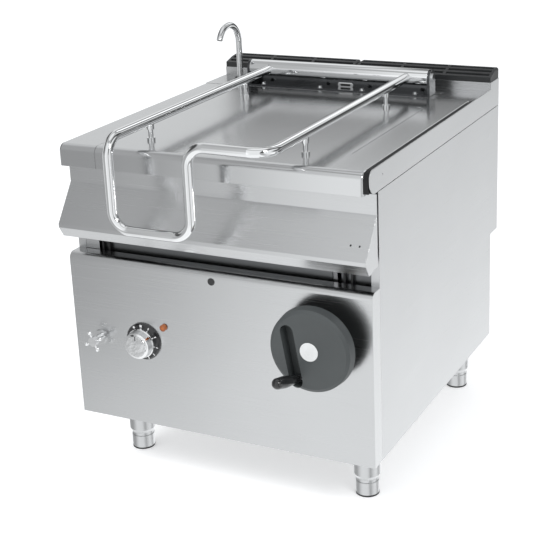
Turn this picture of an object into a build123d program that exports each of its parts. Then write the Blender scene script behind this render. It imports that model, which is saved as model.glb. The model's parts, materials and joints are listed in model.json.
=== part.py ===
from build123d import *
from math import acos, ceil, cos, hypot, pi, radians, sin, tan
import os

os.makedirs("parts", exist_ok=True)

# Overall machine, in millimetres. Depths are counted back from the control panel's face.
width = 800.0
depth = 895.0
leg_height = 150.0
worktop_z = 850.0
sheet = 2.0
touch = 0.3
running = 0.05
slide_gap = 2.0

# Control panel box
panel_depth = 43.0
panel_top_z = 576.0
panel_edge_radius = 16.0
panel_return = 20.0

# Side panels, rails and the service recess at the rear
side_flange = 20.0
rail_seam_z = 798.0
rail_seam_gap = 1.5
rail_top_z = 855.0
rail_nose_y = -2.0
rail_nose_low_y = 34.0
rail_nose_radius = 18.0
rail_hole_y = 70.0
rail_hole_z = 831.0
rail_hole_radius = 1.6
recess_depth = 57.0
recess_z = 447.0

# Lid, fixed left worktop and their nose
nose_front_y = -3.0
nose_bottom_z = 797.0
nose_radius = 18.0
nose_return = 15.0
rim_radius = 6.0
side_gutter = 16.0
lid_side_gap = 1.0
strip_width = 102.0
rear_worktop_depth = 124.5
lid_flange = 24.7
seam_gap = 3.0

# Pan deck, well and jacket
well_left_rim = 36.0
well_right_rim = 48.0
well_rear_rim = 33.5
well_front_low_y = 236.0
well_front_top_y = 124.0
well_floor_z = 643.0
well_corner = 30.0
tank_wall = 3.0
tank_floor = 10.0
jacket_gap = 18.0
jacket_bottom_z = 585.0
jacket_front_y = 192.0
heater_height = 14.0
heater_width = 60.0
heater_count = 3

# Apron below the nose, which pours in front of the control panel
ledge_y = 33.0
ledge_top_z = 795.0
ledge_bottom_z = 748.0
apron_nose_y = -31.0
apron_nose_z = 659.0
apron_nose_height = 9.0
lip_y = -15.0
lip_z = 624.0
lip_return = 12.0
apron_rear_y = 35.0
apron_rear_z = 632.5
apron_hole_radius = 2.0
apron_hole_pitch = 21.0
apron_hole_inset = 23.0
apron_hole_z = 688.0

# Beam and gussets behind the apron's ledge
beam_depth = 20.0
beam_low_z = 750.0
beam_top_z = 792.0
gusset_inset = 128.0
gusset_thickness = 4.0

# Tilting pivot and its forked posts
pivot_y = 30.0
pivot_z = 640.0
pivot_offset = 31.5
pivot_radius = 6.0
post_width = 23.0
post_cheek = 5.0
post_front_y = 47.0
post_thickness = 10.0
post_foot_z = 480.0
boss_radius = 13.0
crossbar_bottom_z = 470.0
crossbar_top_z = 600.0
crossbar_sheet = 3.0

# Tilting gear: toothed sector on the pan, pinion and closed reducer on the frame
tilt_range = 80.0
gear_module = 3.5
sector_teeth = 52
pinion_teeth = 12
pressure_angle = 20.0
addendum = 0.8
dedendum = 1.15
backlash = 0.5
mesh_angle = 14.0
sector_offset = 16.0
sector_thickness = 10.0
pinion_width = 14.0
output_radius = 8.0
reducer_left_offset = 29.0
reducer_sector_gap = 10.0
reducer_rear_y = 166.0
reducer_wall = 12.0

# Handwheel with its folding grip
wheel_inset = 125.0
wheel_z = 448.0
wheel_radius = 100.0
wheel_front_y = -68.0
wheel_rear_y = -36.0
wheel_wall = 5.0
wheel_hub_radius = 20.0
wheel_hub_rear_y = -7.0
wheel_cap_radius = 22.0
shaft_radius = 8.0
flange_radius = 30.0
grip_pivot_x = -34.0
grip_pivot_z = -76.0
grip_lean = 9.7
grip_open = 73.0
grip_pivot_depth = 14.5
grip_length = 112.0
grip_radius = 14.0
grip_bulge = 0.62
grip_neck_radius = 9.0
groove_length = 118.0
groove_half_width = 16.0
groove_depth = 29.0
spindle_radius = 4.0
eye_radius = 7.5
eye_width = 12.0
grip_pin_radius = 3.0

# Thermostat, lamp, tap and the blanking plug on the panel
thermostat_inset = 198.0
thermostat_z = 372.0
skirt_radius = 47.0
skirt_thickness = 8.0
knob_radius = 37.0
knob_front_y = -39.0
knob_step = 9.0
thermostat_half = 20.0
lamp_offset = 59.0
lamp_z = 416.0
lamp_radius = 8.0
tap_inset = 70.0
tap_z = 363.0
tap_handle_radius = 28.0
tap_handle_y = -30.0
tap_stem_radius = 6.0
tap_lobe_radius = 5.5
tap_arm_turn = 25.0
valve_radius = 15.0
valve_rear_y = 63.0
plug_x = -4.0
plug_z = 552.0
plug_radius = 9.0
pipe_radius = 7.0
pipe_bend = 21.0
inlet_z = 250.0
inlet_radius = 10.5
gland_inset = 150.0
gland_z = 250.0

# Hinge of the lid with its round spring housing
hinge_setback = 33.5
hinge_z = 898.0
hinge_tube_radius = 22.0
hinge_tube_wall = 2.0
hinge_end_inset = 23.0
hinge_bracket = 7.0
hinge_pin_radius = 7.0
hinge_base_half_depth = 22.0
shelf_inset = 115.0
shelf_overhang = 40.0
shelf_sheet = 4.0
plug_depth = 30.0

# Bent tube handle on the lid
handle_inset = 59.0
handle_radius = 12.0
handle_front_y = -86.0
handle_low_z = 685.0
handle_inner_x = 4.0
handle_bend = 45.0
post_front_row_y = 98.0
post_rear_inset = 126.5
stud_radius = 6.0
stud_foot_radius = 10.0
stud_foot_height = 7.0
stud_collar_height = 9.0

# Flue at the rear
flue_depth = 69.0
flue_top_z = 873.0
grate_front_height = 14.0
grate_rear_height = 28.0
grate_gap = 6.0
grate_inset = 1.5
grate_bar = 9.0
grate_rib = 8.0

# Swivel spout
spout_side_offset = 28.0
spout_setback = 17.0
spout_radius = 8.5
spout_wall = 1.5
spout_bend = 57.0
spout_top_z = 1018.0
spout_sweep = 155.0
spout_nut_radius = 19.0
spout_nut_height = 12.0

# Adjustable legs
leg_inset = 80.0
leg_front_y = 138.0
leg_rear_inset = 105.0
leg_tube_radius = 33.0
leg_neck_radius = 28.0
leg_taper_top_z = 56.0
leg_taper_low_z = 46.0
foot_radius = 29.0
foot_height = 38.0

# Rating plate holder in the gap above the panel, left bare
plate_inset = 4.0
plate_width = 55.0
plate_top_z = 620.0

half = width / 2
skin_x = half - sheet
side_front_y = panel_depth + touch / 2
gutter_x = half - side_gutter
lid_left_x = strip_width - half
flue_front_y = depth - flue_depth
lid_rear_y = flue_front_y - rear_worktop_depth
shelf_y = lid_rear_y + seam_gap
well_left_x = lid_left_x + well_left_rim
well_right_x = gutter_x - well_right_rim
well_rear_y = lid_rear_y - well_rear_rim
wheel_x = half - wheel_inset
sector_x = wheel_x + sector_offset
pivot_x = sector_x + pivot_offset
reducer_left_x = wheel_x - reducer_left_offset
reducer_right_x = sector_x - reducer_sector_gap
thermostat_x = thermostat_inset - half
lamp_x = thermostat_x + lamp_offset
tap_x = tap_inset - half
gland_x = half - gland_inset
apron_hole_x = half - apron_hole_inset
hinge_y = lid_rear_y + hinge_setback
hinge_base_front_y = hinge_y - hinge_base_half_depth
hinge_base_rear_y = hinge_y + hinge_base_half_depth
shelf_half_length = half - shelf_inset
shelf_rear_y = hinge_y + shelf_overhang
hinge_half_length = shelf_half_length - hinge_end_inset
handle_x = hinge_half_length - handle_inset
post_rear_row_y = lid_rear_y - post_rear_inset
spout_x = -shelf_half_length - spout_side_offset
spout_y = hinge_y + spout_setback
leg_x = half - leg_inset
leg_rear_y = depth - leg_rear_inset
plate_left_x = plate_inset - half
plate_right_x = plate_left_x + plate_width
deck_z = worktop_z - lid_flange - touch
rear_skin_y = depth - sheet
lower_rear_y = depth - recess_depth
beam_rear_y = ledge_y + sheet + beam_depth
beam_half_length = half - side_flange - slide_gap
gusset_half_span = beam_half_length - gusset_inset
tooth_height = gear_module * (addendum + dedendum)
sector_radius = gear_module * sector_teeth / 2
pinion_radius = gear_module * pinion_teeth / 2
pinion_y = pivot_y + (sector_radius + pinion_radius) * cos(radians(mesh_angle))
pinion_z = pivot_z + (sector_radius + pinion_radius) * sin(radians(mesh_angle))
grip_pivot_y = wheel_front_y + grip_pivot_depth
grip_tip = grip_radius - 1.0
grip_reach = (grip_length - grip_tip) * sin(radians(grip_open)) + grip_tip
front_y = grip_pivot_y - grip_reach

# The origin lies on the floor under the middle of the whole machine, grip included.
face_y = -(front_y + depth) / 2


def at_x(x):
    """Plane across the machine, with local axes depth and height."""
    return Plane(origin=(x, face_y, 0), x_dir=(0, 1, 0), z_dir=(1, 0, 0))


def at_y(y):
    """Upright plane facing the user, with local axes width and height."""
    return Plane(origin=(0, face_y + y, 0), x_dir=(1, 0, 0), z_dir=(0, -1, 0))


def at_z(z):
    """Level plane, with local axes width and depth."""
    return Plane(origin=(0, face_y, z), x_dir=(1, 0, 0), z_dir=(0, 0, 1))


def box_between(x0, x1, y0, y1, z0, z1, mode=Mode.ADD):
    """Block between two corners, in the machine's own depths."""
    with BuildSketch(at_z(z0)) as block:
        with Locations(((x0 + x1) / 2, (y0 + y1) / 2)):
            Rectangle(x1 - x0, y1 - y0)
    extrude(block.sketch, amount=z1 - z0, mode=mode)


def folded(points, side, x0, x1):
    """Sheet of even thickness folded along the given points, grown to one side of them."""
    with BuildSketch(at_x(x0)) as profile:
        with BuildLine():
            Polyline(*points)
            offset(amount=sheet, side=side, kind=Kind.INTERSECTION, closed=True)
        make_face()
    extrude(profile.sketch, amount=x1 - x0)


def rod_y(x, z, radius, y0, y1, mode=Mode.ADD):
    """Round bar along the depth, from y0 in front to y1 behind."""
    with BuildSketch(at_y(y1)) as end:
        with Locations((x, z)):
            Circle(radius)
    extrude(end.sketch, amount=y1 - y0, mode=mode)


def rod_x(y, z, radius, x0, x1, mode=Mode.ADD):
    """Round bar across the machine."""
    with BuildSketch(at_x(x0)) as end:
        with Locations((y, z)):
            Circle(radius)
    extrude(end.sketch, amount=x1 - x0, mode=mode)


def rod_z(x, y, radius, z0, z1, mode=Mode.ADD):
    """Upright round bar."""
    with BuildSketch(at_z(z0)) as end:
        with Locations((x, y)):
            Circle(radius)
    extrude(end.sketch, amount=z1 - z0, mode=mode)


def finish(name, node):
    """Label a finished piece and write it under its own name."""
    name.part.label = node
    export_step(name.part, f"parts/{node}.step")


# Control panel: a box with a rounded upper edge, open at the back
inner_edge = panel_edge_radius - sheet
with BuildPart() as control_panel:
    with BuildSketch(at_x(-half)):
        with BuildLine():
            Polyline((0, panel_top_z - panel_edge_radius), (0, leg_height), (panel_depth, leg_height),
                     (panel_depth, panel_top_z), (panel_edge_radius, panel_top_z))
            RadiusArc((panel_edge_radius, panel_top_z), (0, panel_top_z - panel_edge_radius),
                      -panel_edge_radius)
        make_face()
    extrude(amount=width)
    with BuildSketch(at_x(-skin_x)):
        with BuildLine():
            Polyline((sheet, panel_top_z - panel_edge_radius), (sheet, leg_height + sheet),
                     (panel_depth + sheet, leg_height + sheet),
                     (panel_depth + sheet, panel_top_z - panel_return),
                     (panel_depth - sheet, panel_top_z - panel_return),
                     (panel_depth - sheet, panel_top_z - sheet), (panel_edge_radius, panel_top_z - sheet))
            RadiusArc((panel_edge_radius, panel_top_z - sheet), (sheet, panel_top_z - panel_edge_radius),
                      -inner_edge)
        make_face()
    extrude(amount=2 * skin_x, mode=Mode.SUBTRACT)
    for hole_x, hole_z, hole_radius in (
        (wheel_x, wheel_z, shaft_radius + 2 * slide_gap),
        (thermostat_x, thermostat_z, shaft_radius),
        (lamp_x, lamp_z, lamp_radius - slide_gap),
        (tap_x, tap_z, tap_stem_radius + 2 * slide_gap),
        (plug_x, plug_z, plug_radius - slide_gap),
    ):
        rod_y(hole_x, hole_z, hole_radius, -sheet, 2 * sheet, mode=Mode.SUBTRACT)
finish(control_panel, "control_panel")


def side_outline(x, shrink):
    """Outline of a side panel with its service recess, or of the pocket that is open on top."""
    low = leg_height + shrink
    high = rail_seam_z + shrink
    with BuildSketch(at_x(x)) as outline:
        with BuildLine():
            Polyline((side_front_y + shrink, low), (lower_rear_y - shrink, low),
                     (lower_rear_y - shrink, recess_z + shrink), (depth - shrink, recess_z + shrink),
                     (depth - shrink, high), (side_front_y + shrink, high), close=True)
        make_face()
    return outline.sketch


# Side panels: skins with a flange in front, below and behind
for side, node in ((-1, "side_panel_left"), (1, "side_panel_right")):
    with BuildPart() as side_panel:
        low_x = half - side_flange if side > 0 else -half
        extrude(side_outline(low_x, 0), amount=side_flange)
        pocket_x = low_x if side > 0 else low_x + sheet
        extrude(side_outline(pocket_x, sheet), amount=side_flange - sheet, mode=Mode.SUBTRACT)
    finish(side_panel, node)


# Right side rail: a thin nosed edge strip above the side panel, with a gutter flange
rail_low_z = rail_seam_z + rail_seam_gap
with BuildPart() as right_rail:
    with BuildSketch(at_x(skin_x)):
        with BuildLine():
            RadiusArc((rail_nose_y + rail_nose_radius, rail_top_z),
                      (rail_nose_y, rail_top_z - rail_nose_radius), -rail_nose_radius)
            Line((rail_nose_y, rail_top_z - rail_nose_radius),
                 (rail_nose_y, rail_top_z - rail_nose_radius - nose_radius / 2))
            TangentArc((rail_nose_y, rail_top_z - rail_nose_radius - nose_radius / 2),
                       (rail_nose_low_y, rail_low_z), tangent=(0, -1))
            Polyline((rail_nose_low_y, rail_low_z), (depth, rail_low_z), (depth, flue_top_z),
                     (flue_front_y, flue_top_z), (flue_front_y, rail_top_z),
                     (rail_nose_y + rail_nose_radius, rail_top_z))
        make_face()
    extrude(amount=sheet)
    rod_x(rail_hole_y, rail_hole_z, rail_hole_radius, skin_x - sheet, half + sheet, mode=Mode.SUBTRACT)
    box_between(half - side_flange, skin_x, side_front_y, flue_front_y - touch, rail_low_z,
                rail_low_z + sheet)
finish(right_rail, "side_rail_right")

# Left side rail: only the rear part, behind the worktop strip that reaches the left edge
with BuildPart() as left_rail:
    with BuildSketch(at_x(-half)):
        with BuildLine():
            Polyline((shelf_y, rail_low_z), (depth, rail_low_z), (depth, flue_top_z),
                     (flue_front_y, flue_top_z), (flue_front_y, worktop_z), (shelf_y, worktop_z),
                     close=True)
        make_face()
    extrude(amount=sheet)
    box_between(-skin_x, -half + side_flange, shelf_y + 2 * sheet, flue_front_y - touch, rail_low_z,
                rail_low_z + sheet)
finish(left_rail, "side_rail_left")

# Back panel, stepped in at the service recess, with the inlet and cable holes
with BuildPart() as back_panel:
    folded([(rear_skin_y, flue_top_z), (rear_skin_y, recess_z + sheet),
            (lower_rear_y - sheet, recess_z + sheet), (lower_rear_y - sheet, leg_height + sheet)],
           Side.RIGHT, -skin_x, skin_x)
    for hole_x, hole_z in ((tap_x, inlet_z), (gland_x, gland_z)):
        rod_y(hole_x, hole_z, pipe_radius + slide_gap, lower_rear_y - 3 * sheet, lower_rear_y,
              mode=Mode.SUBTRACT)
finish(back_panel, "back_panel")

# Base tray that the legs are screwed to, with turned-up front and rear edges
with BuildPart() as base_tray:
    box_between(-skin_x, skin_x, side_front_y + sheet, lower_rear_y - 2 * sheet, leg_height + sheet,
                leg_height + 2 * sheet)
    box_between(-skin_x + side_flange, skin_x - side_flange, side_front_y + sheet, side_front_y + 2 * sheet,
                leg_height + 2 * sheet, leg_height + side_flange)
    box_between(-skin_x + side_flange, skin_x - side_flange, lower_rear_y - 3 * sheet,
                lower_rear_y - 2 * sheet, leg_height + 2 * sheet, leg_height + side_flange)
finish(base_tray, "base_tray")

# Legs: tubes with a tapered end, and the adjustable feet that screw into them
leg_places = [(side * leg_x, leg_y) for leg_y in (leg_front_y, leg_rear_y) for side in (-1, 1)]
foot_thread_z = leg_taper_top_z + leg_neck_radius
with BuildPart() as legs:
    for x, y in leg_places:
        with BuildSketch(Plane(origin=(x, face_y + y, 0), x_dir=(1, 0, 0), z_dir=(0, -1, 0))):
            with BuildLine():
                Polyline((0, leg_height + sheet), (leg_tube_radius, leg_height + sheet),
                         (leg_tube_radius, leg_taper_top_z), (leg_neck_radius, leg_taper_low_z),
                         (leg_neck_radius, foot_height + touch), (0, foot_height + touch), close=True)
            make_face()
        revolve(axis=Axis((x, face_y + y, 0), (0, 0, 1)))
        rod_z(x, y, shaft_radius + running, foot_height, foot_thread_z, mode=Mode.SUBTRACT)
finish(legs, "legs")

with BuildPart() as feet:
    for x, y in leg_places:
        rod_z(x, y, foot_radius, 0, foot_height)
    fillet(feet.edges().group_by(Axis.Z)[0], radius=sheet)
    for x, y in leg_places:
        rod_z(x, y, shaft_radius, foot_height, foot_thread_z - sheet)
finish(feet, "feet")

# Crossbar behind the panel, slotted for the toothed sector
with BuildPart() as crossbar:
    bar_y = post_front_y + post_thickness
    box_between(-skin_x, skin_x, bar_y, bar_y + crossbar_sheet, crossbar_bottom_z, crossbar_top_z)
    slot_half = sector_thickness / 2 + 3 * slide_gap
    box_between(sector_x - slot_half, sector_x + slot_half, bar_y - sheet, bar_y + crossbar_sheet + sheet,
                pivot_z - sector_radius - 4 * tooth_height, crossbar_top_z + sheet, mode=Mode.SUBTRACT)
    for post_side in (-1, 1):
        for post_hole_z in (post_foot_z + boss_radius, post_foot_z + 4 * boss_radius):
            rod_y(post_side * pivot_x, post_hole_z, pivot_radius / 2, bar_y - sheet,
                  bar_y + crossbar_sheet + sheet, mode=Mode.SUBTRACT)
finish(crossbar, "front_crossbar")


def post_cheek_at(x):
    """One cheek of a pivot post, leaning forward above the control panel's top."""
    with BuildSketch(at_x(x)) as cheek:
        with BuildLine():
            Polyline((post_front_y, pivot_z - 2 * boss_radius), (post_front_y, post_foot_z),
                     (post_front_y + post_thickness, post_foot_z),
                     (post_front_y + post_thickness, pivot_z), (pivot_y, pivot_z + boss_radius))
            CenterArc((pivot_y, pivot_z), boss_radius, 90, 180)
            Line((pivot_y, pivot_z - boss_radius), (post_front_y, pivot_z - 2 * boss_radius))
        make_face()
        with Locations((pivot_y, pivot_z)):
            Circle(pivot_radius, mode=Mode.SUBTRACT)
    extrude(cheek.sketch, amount=post_cheek)


# Forked pivot posts, the bolts that hold them on the crossbar, and the pins the pan turns on
web_top_z = panel_top_z - 3 * sheet
for side, hand in ((-1, "left"), (1, "right")):
    post_left = side * pivot_x - post_width / 2
    with BuildPart() as post:
        post_cheek_at(post_left)
        post_cheek_at(post_left + post_width - post_cheek)
        box_between(post_left, post_left + post_width, post_front_y, post_front_y + post_thickness,
                    post_foot_z, web_top_z)
        for post_hole_z in (post_foot_z + boss_radius, post_foot_z + 4 * boss_radius):
            rod_y(side * pivot_x, post_hole_z, pivot_radius / 2, post_front_y - sheet,
                  post_front_y + post_thickness + sheet, mode=Mode.SUBTRACT)
    finish(post, f"pivot_post_{hand}")

with BuildPart() as post_bolts:
    for side in (-1, 1):
        for bolt_z in (post_foot_z + boss_radius, post_foot_z + 4 * boss_radius):
            rod_y(side * pivot_x, bolt_z, pivot_radius / 2 - running, post_front_y, bar_y + crossbar_sheet)
            for head_y in (post_front_y - pivot_radius / 2, bar_y + crossbar_sheet):
                with BuildSketch(at_y(head_y + pivot_radius / 2)):
                    with Locations((side * pivot_x, bolt_z)):
                        RegularPolygon(radius=pivot_radius, side_count=6)
                extrude(amount=pivot_radius / 2)
finish(post_bolts, "post_bolts")

with BuildPart() as pivot_pins:
    for side in (-1, 1):
        rod_x(pivot_y, pivot_z, pivot_radius, side * pivot_x - post_width / 2 - sheet,
              side * pivot_x + post_width / 2 + sheet)
finish(pivot_pins, "pivot_pins")


def nosed_block(x0, x1, rear_y, low_z, shrink):
    """Worktop block with a rounded nose in front, or the hollow below it."""
    front = nose_front_y + shrink
    top = worktop_z - shrink
    radius = nose_radius - shrink
    back_of_nose = nose_front_y + nose_return - shrink
    with BuildSketch(at_x(x0)) as outline:
        with BuildLine():
            Polyline((front, top - radius), (front, nose_bottom_z + shrink),
                     (back_of_nose, nose_bottom_z + shrink), (back_of_nose, low_z - shrink),
                     (rear_y - shrink, low_z - shrink), (rear_y - shrink, top), (front + radius, top))
            RadiusArc((front + radius, top), (front, top - radius), -radius)
        make_face()
    extrude(outline.sketch, amount=x1 - x0)


def rim_edges(builder, end):
    """Top, nose and front edges at the left or right end of a worktop block."""
    face = builder.faces().sort_by(Axis.X)[end]
    front_limit = face_y + nose_front_y + nose_radius / 2
    return [edge for edge in face.edges()
            if edge.center().Z > worktop_z - 2 * sheet
            or (edge.center().Y < front_limit and edge.center().Z > nose_bottom_z + 2 * sheet)]


# Fixed worktop strip on the left, which reaches the machine's edge
strip_right_x = lid_left_x - lid_side_gap
with BuildPart() as strip_hollow:
    nosed_block(-half + sheet, strip_right_x - sheet, lid_rear_y, rail_low_z, sheet)
    fillet(rim_edges(strip_hollow, 0), radius=rim_radius - sheet)

with BuildPart() as left_worktop:
    nosed_block(-half, strip_right_x, lid_rear_y, rail_low_z, 0)
    fillet(rim_edges(left_worktop, 0), radius=rim_radius)
    add(strip_hollow.part, mode=Mode.SUBTRACT)
finish(left_worktop, "left_worktop")

# Flanged lid beside it
lid_low_z = worktop_z - lid_flange
with BuildPart() as lid_hollow:
    nosed_block(lid_left_x + sheet, gutter_x - sheet, lid_rear_y, lid_low_z, sheet)
    fillet(rim_edges(lid_hollow, -1), radius=rim_radius - sheet)

with BuildPart() as lid:
    nosed_block(lid_left_x, gutter_x, lid_rear_y, lid_low_z, 0)
    fillet(rim_edges(lid, -1), radius=rim_radius)
    add(lid_hollow.part, mode=Mode.SUBTRACT)
    for stud_side in (-1, 1):
        for stud_y in (post_front_row_y, post_rear_row_y):
            rod_z(stud_side * handle_x, stud_y, stud_radius / 2, worktop_z - 2 * sheet, worktop_z + sheet,
                  mode=Mode.SUBTRACT)
finish(lid, "lid")

# Bracket that carries the left strip on the side panel
bracket_front_y = beam_rear_y + side_flange
with BuildPart() as strip_bracket:
    folded([(bracket_front_y, rail_seam_z - 2 * sheet),
            (lid_rear_y - side_flange, rail_seam_z - 2 * sheet)],
           Side.RIGHT, -skin_x, strip_right_x - 2 * sheet)
    box_between(strip_right_x - 4 * sheet, strip_right_x - 2 * sheet, bracket_front_y,
                lid_rear_y - side_flange, rail_seam_z - 2 * sheet, worktop_z - sheet)
finish(strip_bracket, "left_worktop_bracket")

# Fixed rear worktop, notched for the shelf of the hinge, with the spout hole
notch_half = shelf_half_length + slide_gap
notch_y = shelf_rear_y + slide_gap
with BuildPart() as rear_worktop:
    box_between(-skin_x, skin_x, shelf_y, flue_front_y, worktop_z - sheet, worktop_z)
    box_between(-skin_x, skin_x, shelf_y, shelf_y + sheet, rail_seam_z + 4 * sheet, worktop_z)
    box_between(-notch_half, notch_half, shelf_y - sheet, notch_y, rail_seam_z, worktop_z + sheet,
                mode=Mode.SUBTRACT)
    rod_z(spout_x, spout_y, spout_radius + slide_gap, worktop_z - 2 * sheet, worktop_z + sheet,
          mode=Mode.SUBTRACT)
finish(rear_worktop, "rear_worktop")

# Flue box behind the worktop
with BuildPart() as flue_box:
    box_between(-skin_x, skin_x, flue_front_y, rear_skin_y - sheet, rail_seam_z + 4 * sheet, flue_top_z)
    box_between(-skin_x + sheet, skin_x - sheet, flue_front_y + sheet, rear_skin_y - 2 * sheet,
                rail_seam_z + 3 * sheet, flue_top_z + sheet, mode=Mode.SUBTRACT)
finish(flue_box, "flue_box")

# Cast flue grates: a stepped frame, two ribs and long bars between them
grate_depth = depth - flue_front_y
for hand, grate_left in (("left", -half + grate_inset), ("right", grate_gap / 2)):
    grate_right = grate_left + half - grate_inset - grate_gap / 2
    with BuildPart() as grate:
        with BuildSketch(at_x(grate_left)):
            with BuildLine():
                step = grate_depth / 4
                rise = (grate_rear_height - grate_front_height) / 3
                top = flue_top_z + grate_front_height
                Polyline((flue_front_y, flue_top_z), (flue_front_y, top), (flue_front_y + step, top + rise),
                         (flue_front_y + 2 * step, top + 2 * rise), (flue_front_y + 3 * step, top + 3 * rise),
                         (depth, top + 3 * rise), (depth, flue_top_z), close=True)
            make_face()
        extrude(amount=grate_right - grate_left)
        chamfer(grate.edges().filter_by(Axis.Y).group_by(Axis.Z)[-1], length=grate_rib / 2)
        bay = (grate_right - grate_left - 4 * grate_rib) / 3
        bars = 3
        slot = (grate_depth - (bars + 1) * grate_bar) / bars
        for bay_index in range(3):
            bay_left = grate_left + grate_rib + bay_index * (bay + grate_rib)
            for slot_index in range(bars):
                slot_y = flue_front_y + grate_bar + slot_index * (slot + grate_bar)
                box_between(bay_left, bay_left + bay, slot_y, slot_y + slot, flue_top_z - sheet,
                            flue_top_z + 2 * grate_rear_height, mode=Mode.SUBTRACT)
    finish(grate, f"flue_grate_{hand}")


def well_sketch(x, grow, floor, top):
    """Side view of the well, grown outwards, whose front wall slopes for pouring."""
    slope = (well_front_low_y - well_front_top_y) / (deck_z - well_floor_z)
    low_y = well_front_low_y + slope * (well_floor_z - floor)
    top_y = well_front_low_y - slope * (top - well_floor_z)
    run = grow * hypot(slope, 1)
    with BuildSketch(at_x(x)) as side_view:
        with BuildLine():
            Polyline((low_y - run, floor), (well_rear_y + grow, floor), (well_rear_y + grow, top),
                     (top_y - run, top), close=True)
        make_face()
    return side_view.sketch


# Pan: deck with the front flange, welded tank, heaters and jacket
with BuildPart() as pan_deck:
    box_between(lid_left_x, gutter_x, ledge_y, lid_rear_y - sheet, deck_z - sheet, deck_z)
    box_between(lid_left_x, gutter_x, ledge_y, ledge_y + sheet, ledge_top_z, deck_z)
    extrude(well_sketch(well_left_x, 0, deck_z - 2 * sheet, deck_z + sheet),
            amount=well_right_x - well_left_x, mode=Mode.SUBTRACT)
finish(pan_deck, "pan_deck")

with BuildPart() as well:
    extrude(well_sketch(well_left_x, 0, well_floor_z, deck_z), amount=well_right_x - well_left_x)
    fillet(well.edges().group_by(Axis.Z)[0], radius=well_corner)

with BuildPart() as tank:
    extrude(well_sketch(well_left_x - tank_wall, tank_wall, well_floor_z - tank_floor, deck_z - sheet),
            amount=well_right_x - well_left_x + 2 * tank_wall)
    fillet(tank.edges().group_by(Axis.Z)[0], radius=tank_floor)
    add(well.part, mode=Mode.SUBTRACT)
finish(tank, "pan_tank")

heater_z = well_floor_z - tank_floor
with BuildPart() as heaters:
    heater_pitch = (well_rear_y - well_front_low_y) / heater_count
    for heater_index in range(heater_count):
        heater_y = well_front_low_y + heater_pitch * (heater_index + 0.5)
        box_between(well_left_x + heater_width / 2, well_right_x - heater_width / 2,
                    heater_y - heater_width / 2, heater_y + heater_width / 2, heater_z - heater_height,
                    heater_z)
finish(heaters, "heating_elements")

jacket_left_x = well_left_x - tank_wall - jacket_gap
jacket_right_x = well_right_x + tank_wall + jacket_gap
jacket_rear_y = well_rear_y + tank_wall + jacket_gap


def jacket_front_at(z, shrink=0):
    """Depth of the jacket's sloping front at a height."""
    slope = (well_front_low_y - well_front_top_y) / (deck_z - well_floor_z)
    run = (tank_wall + jacket_gap - shrink) * hypot(slope, 1)
    return well_front_low_y - slope * (z - well_floor_z) - run


def jacket_sketch(x, shrink, top):
    """Side view of the jacket, whose upright front turns into a slope along the tank."""
    slope = (well_front_low_y - well_front_top_y) / (deck_z - well_floor_z)
    bend_z = well_floor_z + (jacket_front_at(well_floor_z, shrink) - jacket_front_y - shrink) / slope
    with BuildSketch(at_x(x)) as side_view:
        with BuildLine():
            Polyline((jacket_front_y + shrink, jacket_bottom_z + shrink),
                     (jacket_rear_y - shrink, jacket_bottom_z + shrink), (jacket_rear_y - shrink, top),
                     (jacket_front_at(top, shrink), top), (jacket_front_y + shrink, bend_z), close=True)
        make_face()
    return side_view.sketch


with BuildPart() as jacket:
    extrude(jacket_sketch(jacket_left_x, 0, deck_z - sheet), amount=jacket_right_x - jacket_left_x)
    extrude(jacket_sketch(jacket_left_x + sheet, sheet, deck_z),
            amount=jacket_right_x - jacket_left_x - 2 * sheet, mode=Mode.SUBTRACT)
finish(jacket, "pan_jacket")

# Apron: ledge, pouring slope, nose and lip in one folded sheet with closed ends
apron_points = [(ledge_y, ledge_top_z), (ledge_y, ledge_bottom_z), (apron_nose_y, apron_nose_z),
                (apron_nose_y, apron_nose_z - apron_nose_height), (lip_y, lip_z),
                (lip_y + lip_return, lip_z)]
with BuildPart() as apron:
    with BuildSketch(at_x(-half)):
        with BuildLine():
            Polyline(*apron_points)
            offset(amount=sheet, side=Side.LEFT, kind=Kind.INTERSECTION, closed=True)
        make_face()
    extrude(amount=width)
    for hole_x in (apron_hole_x - apron_hole_pitch, apron_hole_x):
        rod_y(hole_x, apron_hole_z, apron_hole_radius, apron_nose_y, ledge_y, mode=Mode.SUBTRACT)
    for end_x in (-half, half - sheet):
        with BuildSketch(at_x(end_x)):
            with BuildLine():
                Polyline((ledge_y, ledge_top_z), (ledge_y, ledge_bottom_z), (apron_nose_y, apron_nose_z),
                         (apron_nose_y, apron_nose_z - apron_nose_height), (lip_y, lip_z),
                         (pivot_y, apron_rear_z - sheet), (apron_rear_y, apron_rear_z),
                         (apron_rear_y, ledge_top_z), close=True)
            make_face()
        extrude(amount=sheet)
finish(apron, "pan_apron")

# Beam behind the ledge, and the lugs below it that carry the pan on its pivot pins
with BuildPart() as beam:
    box_between(-beam_half_length, beam_half_length, ledge_y + sheet, beam_rear_y, beam_low_z, beam_top_z)
    box_between(-half, half, ledge_y + 2 * sheet, beam_rear_y - sheet, beam_low_z + sheet, beam_top_z - sheet,
                mode=Mode.SUBTRACT)
finish(beam, "pan_beam")

lug_width = post_width - 2 * post_cheek - 2 * touch
with BuildPart() as lugs:
    for side in (-1, 1):
        with BuildSketch(at_x(side * pivot_x - lug_width / 2)):
            with BuildLine():
                Polyline((pivot_y + boss_radius, pivot_z), (beam_rear_y, beam_low_z),
                         (ledge_y + sheet, beam_low_z), (ledge_y + sheet, ledge_bottom_z - sheet),
                         (pivot_y - boss_radius, pivot_z))
                CenterArc((pivot_y, pivot_z), boss_radius, 180, 180)
            make_face()
            with Locations((pivot_y, pivot_z)):
                Circle(pivot_radius + running, mode=Mode.SUBTRACT)
        extrude(amount=lug_width)
finish(lugs, "pivot_lugs")

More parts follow.
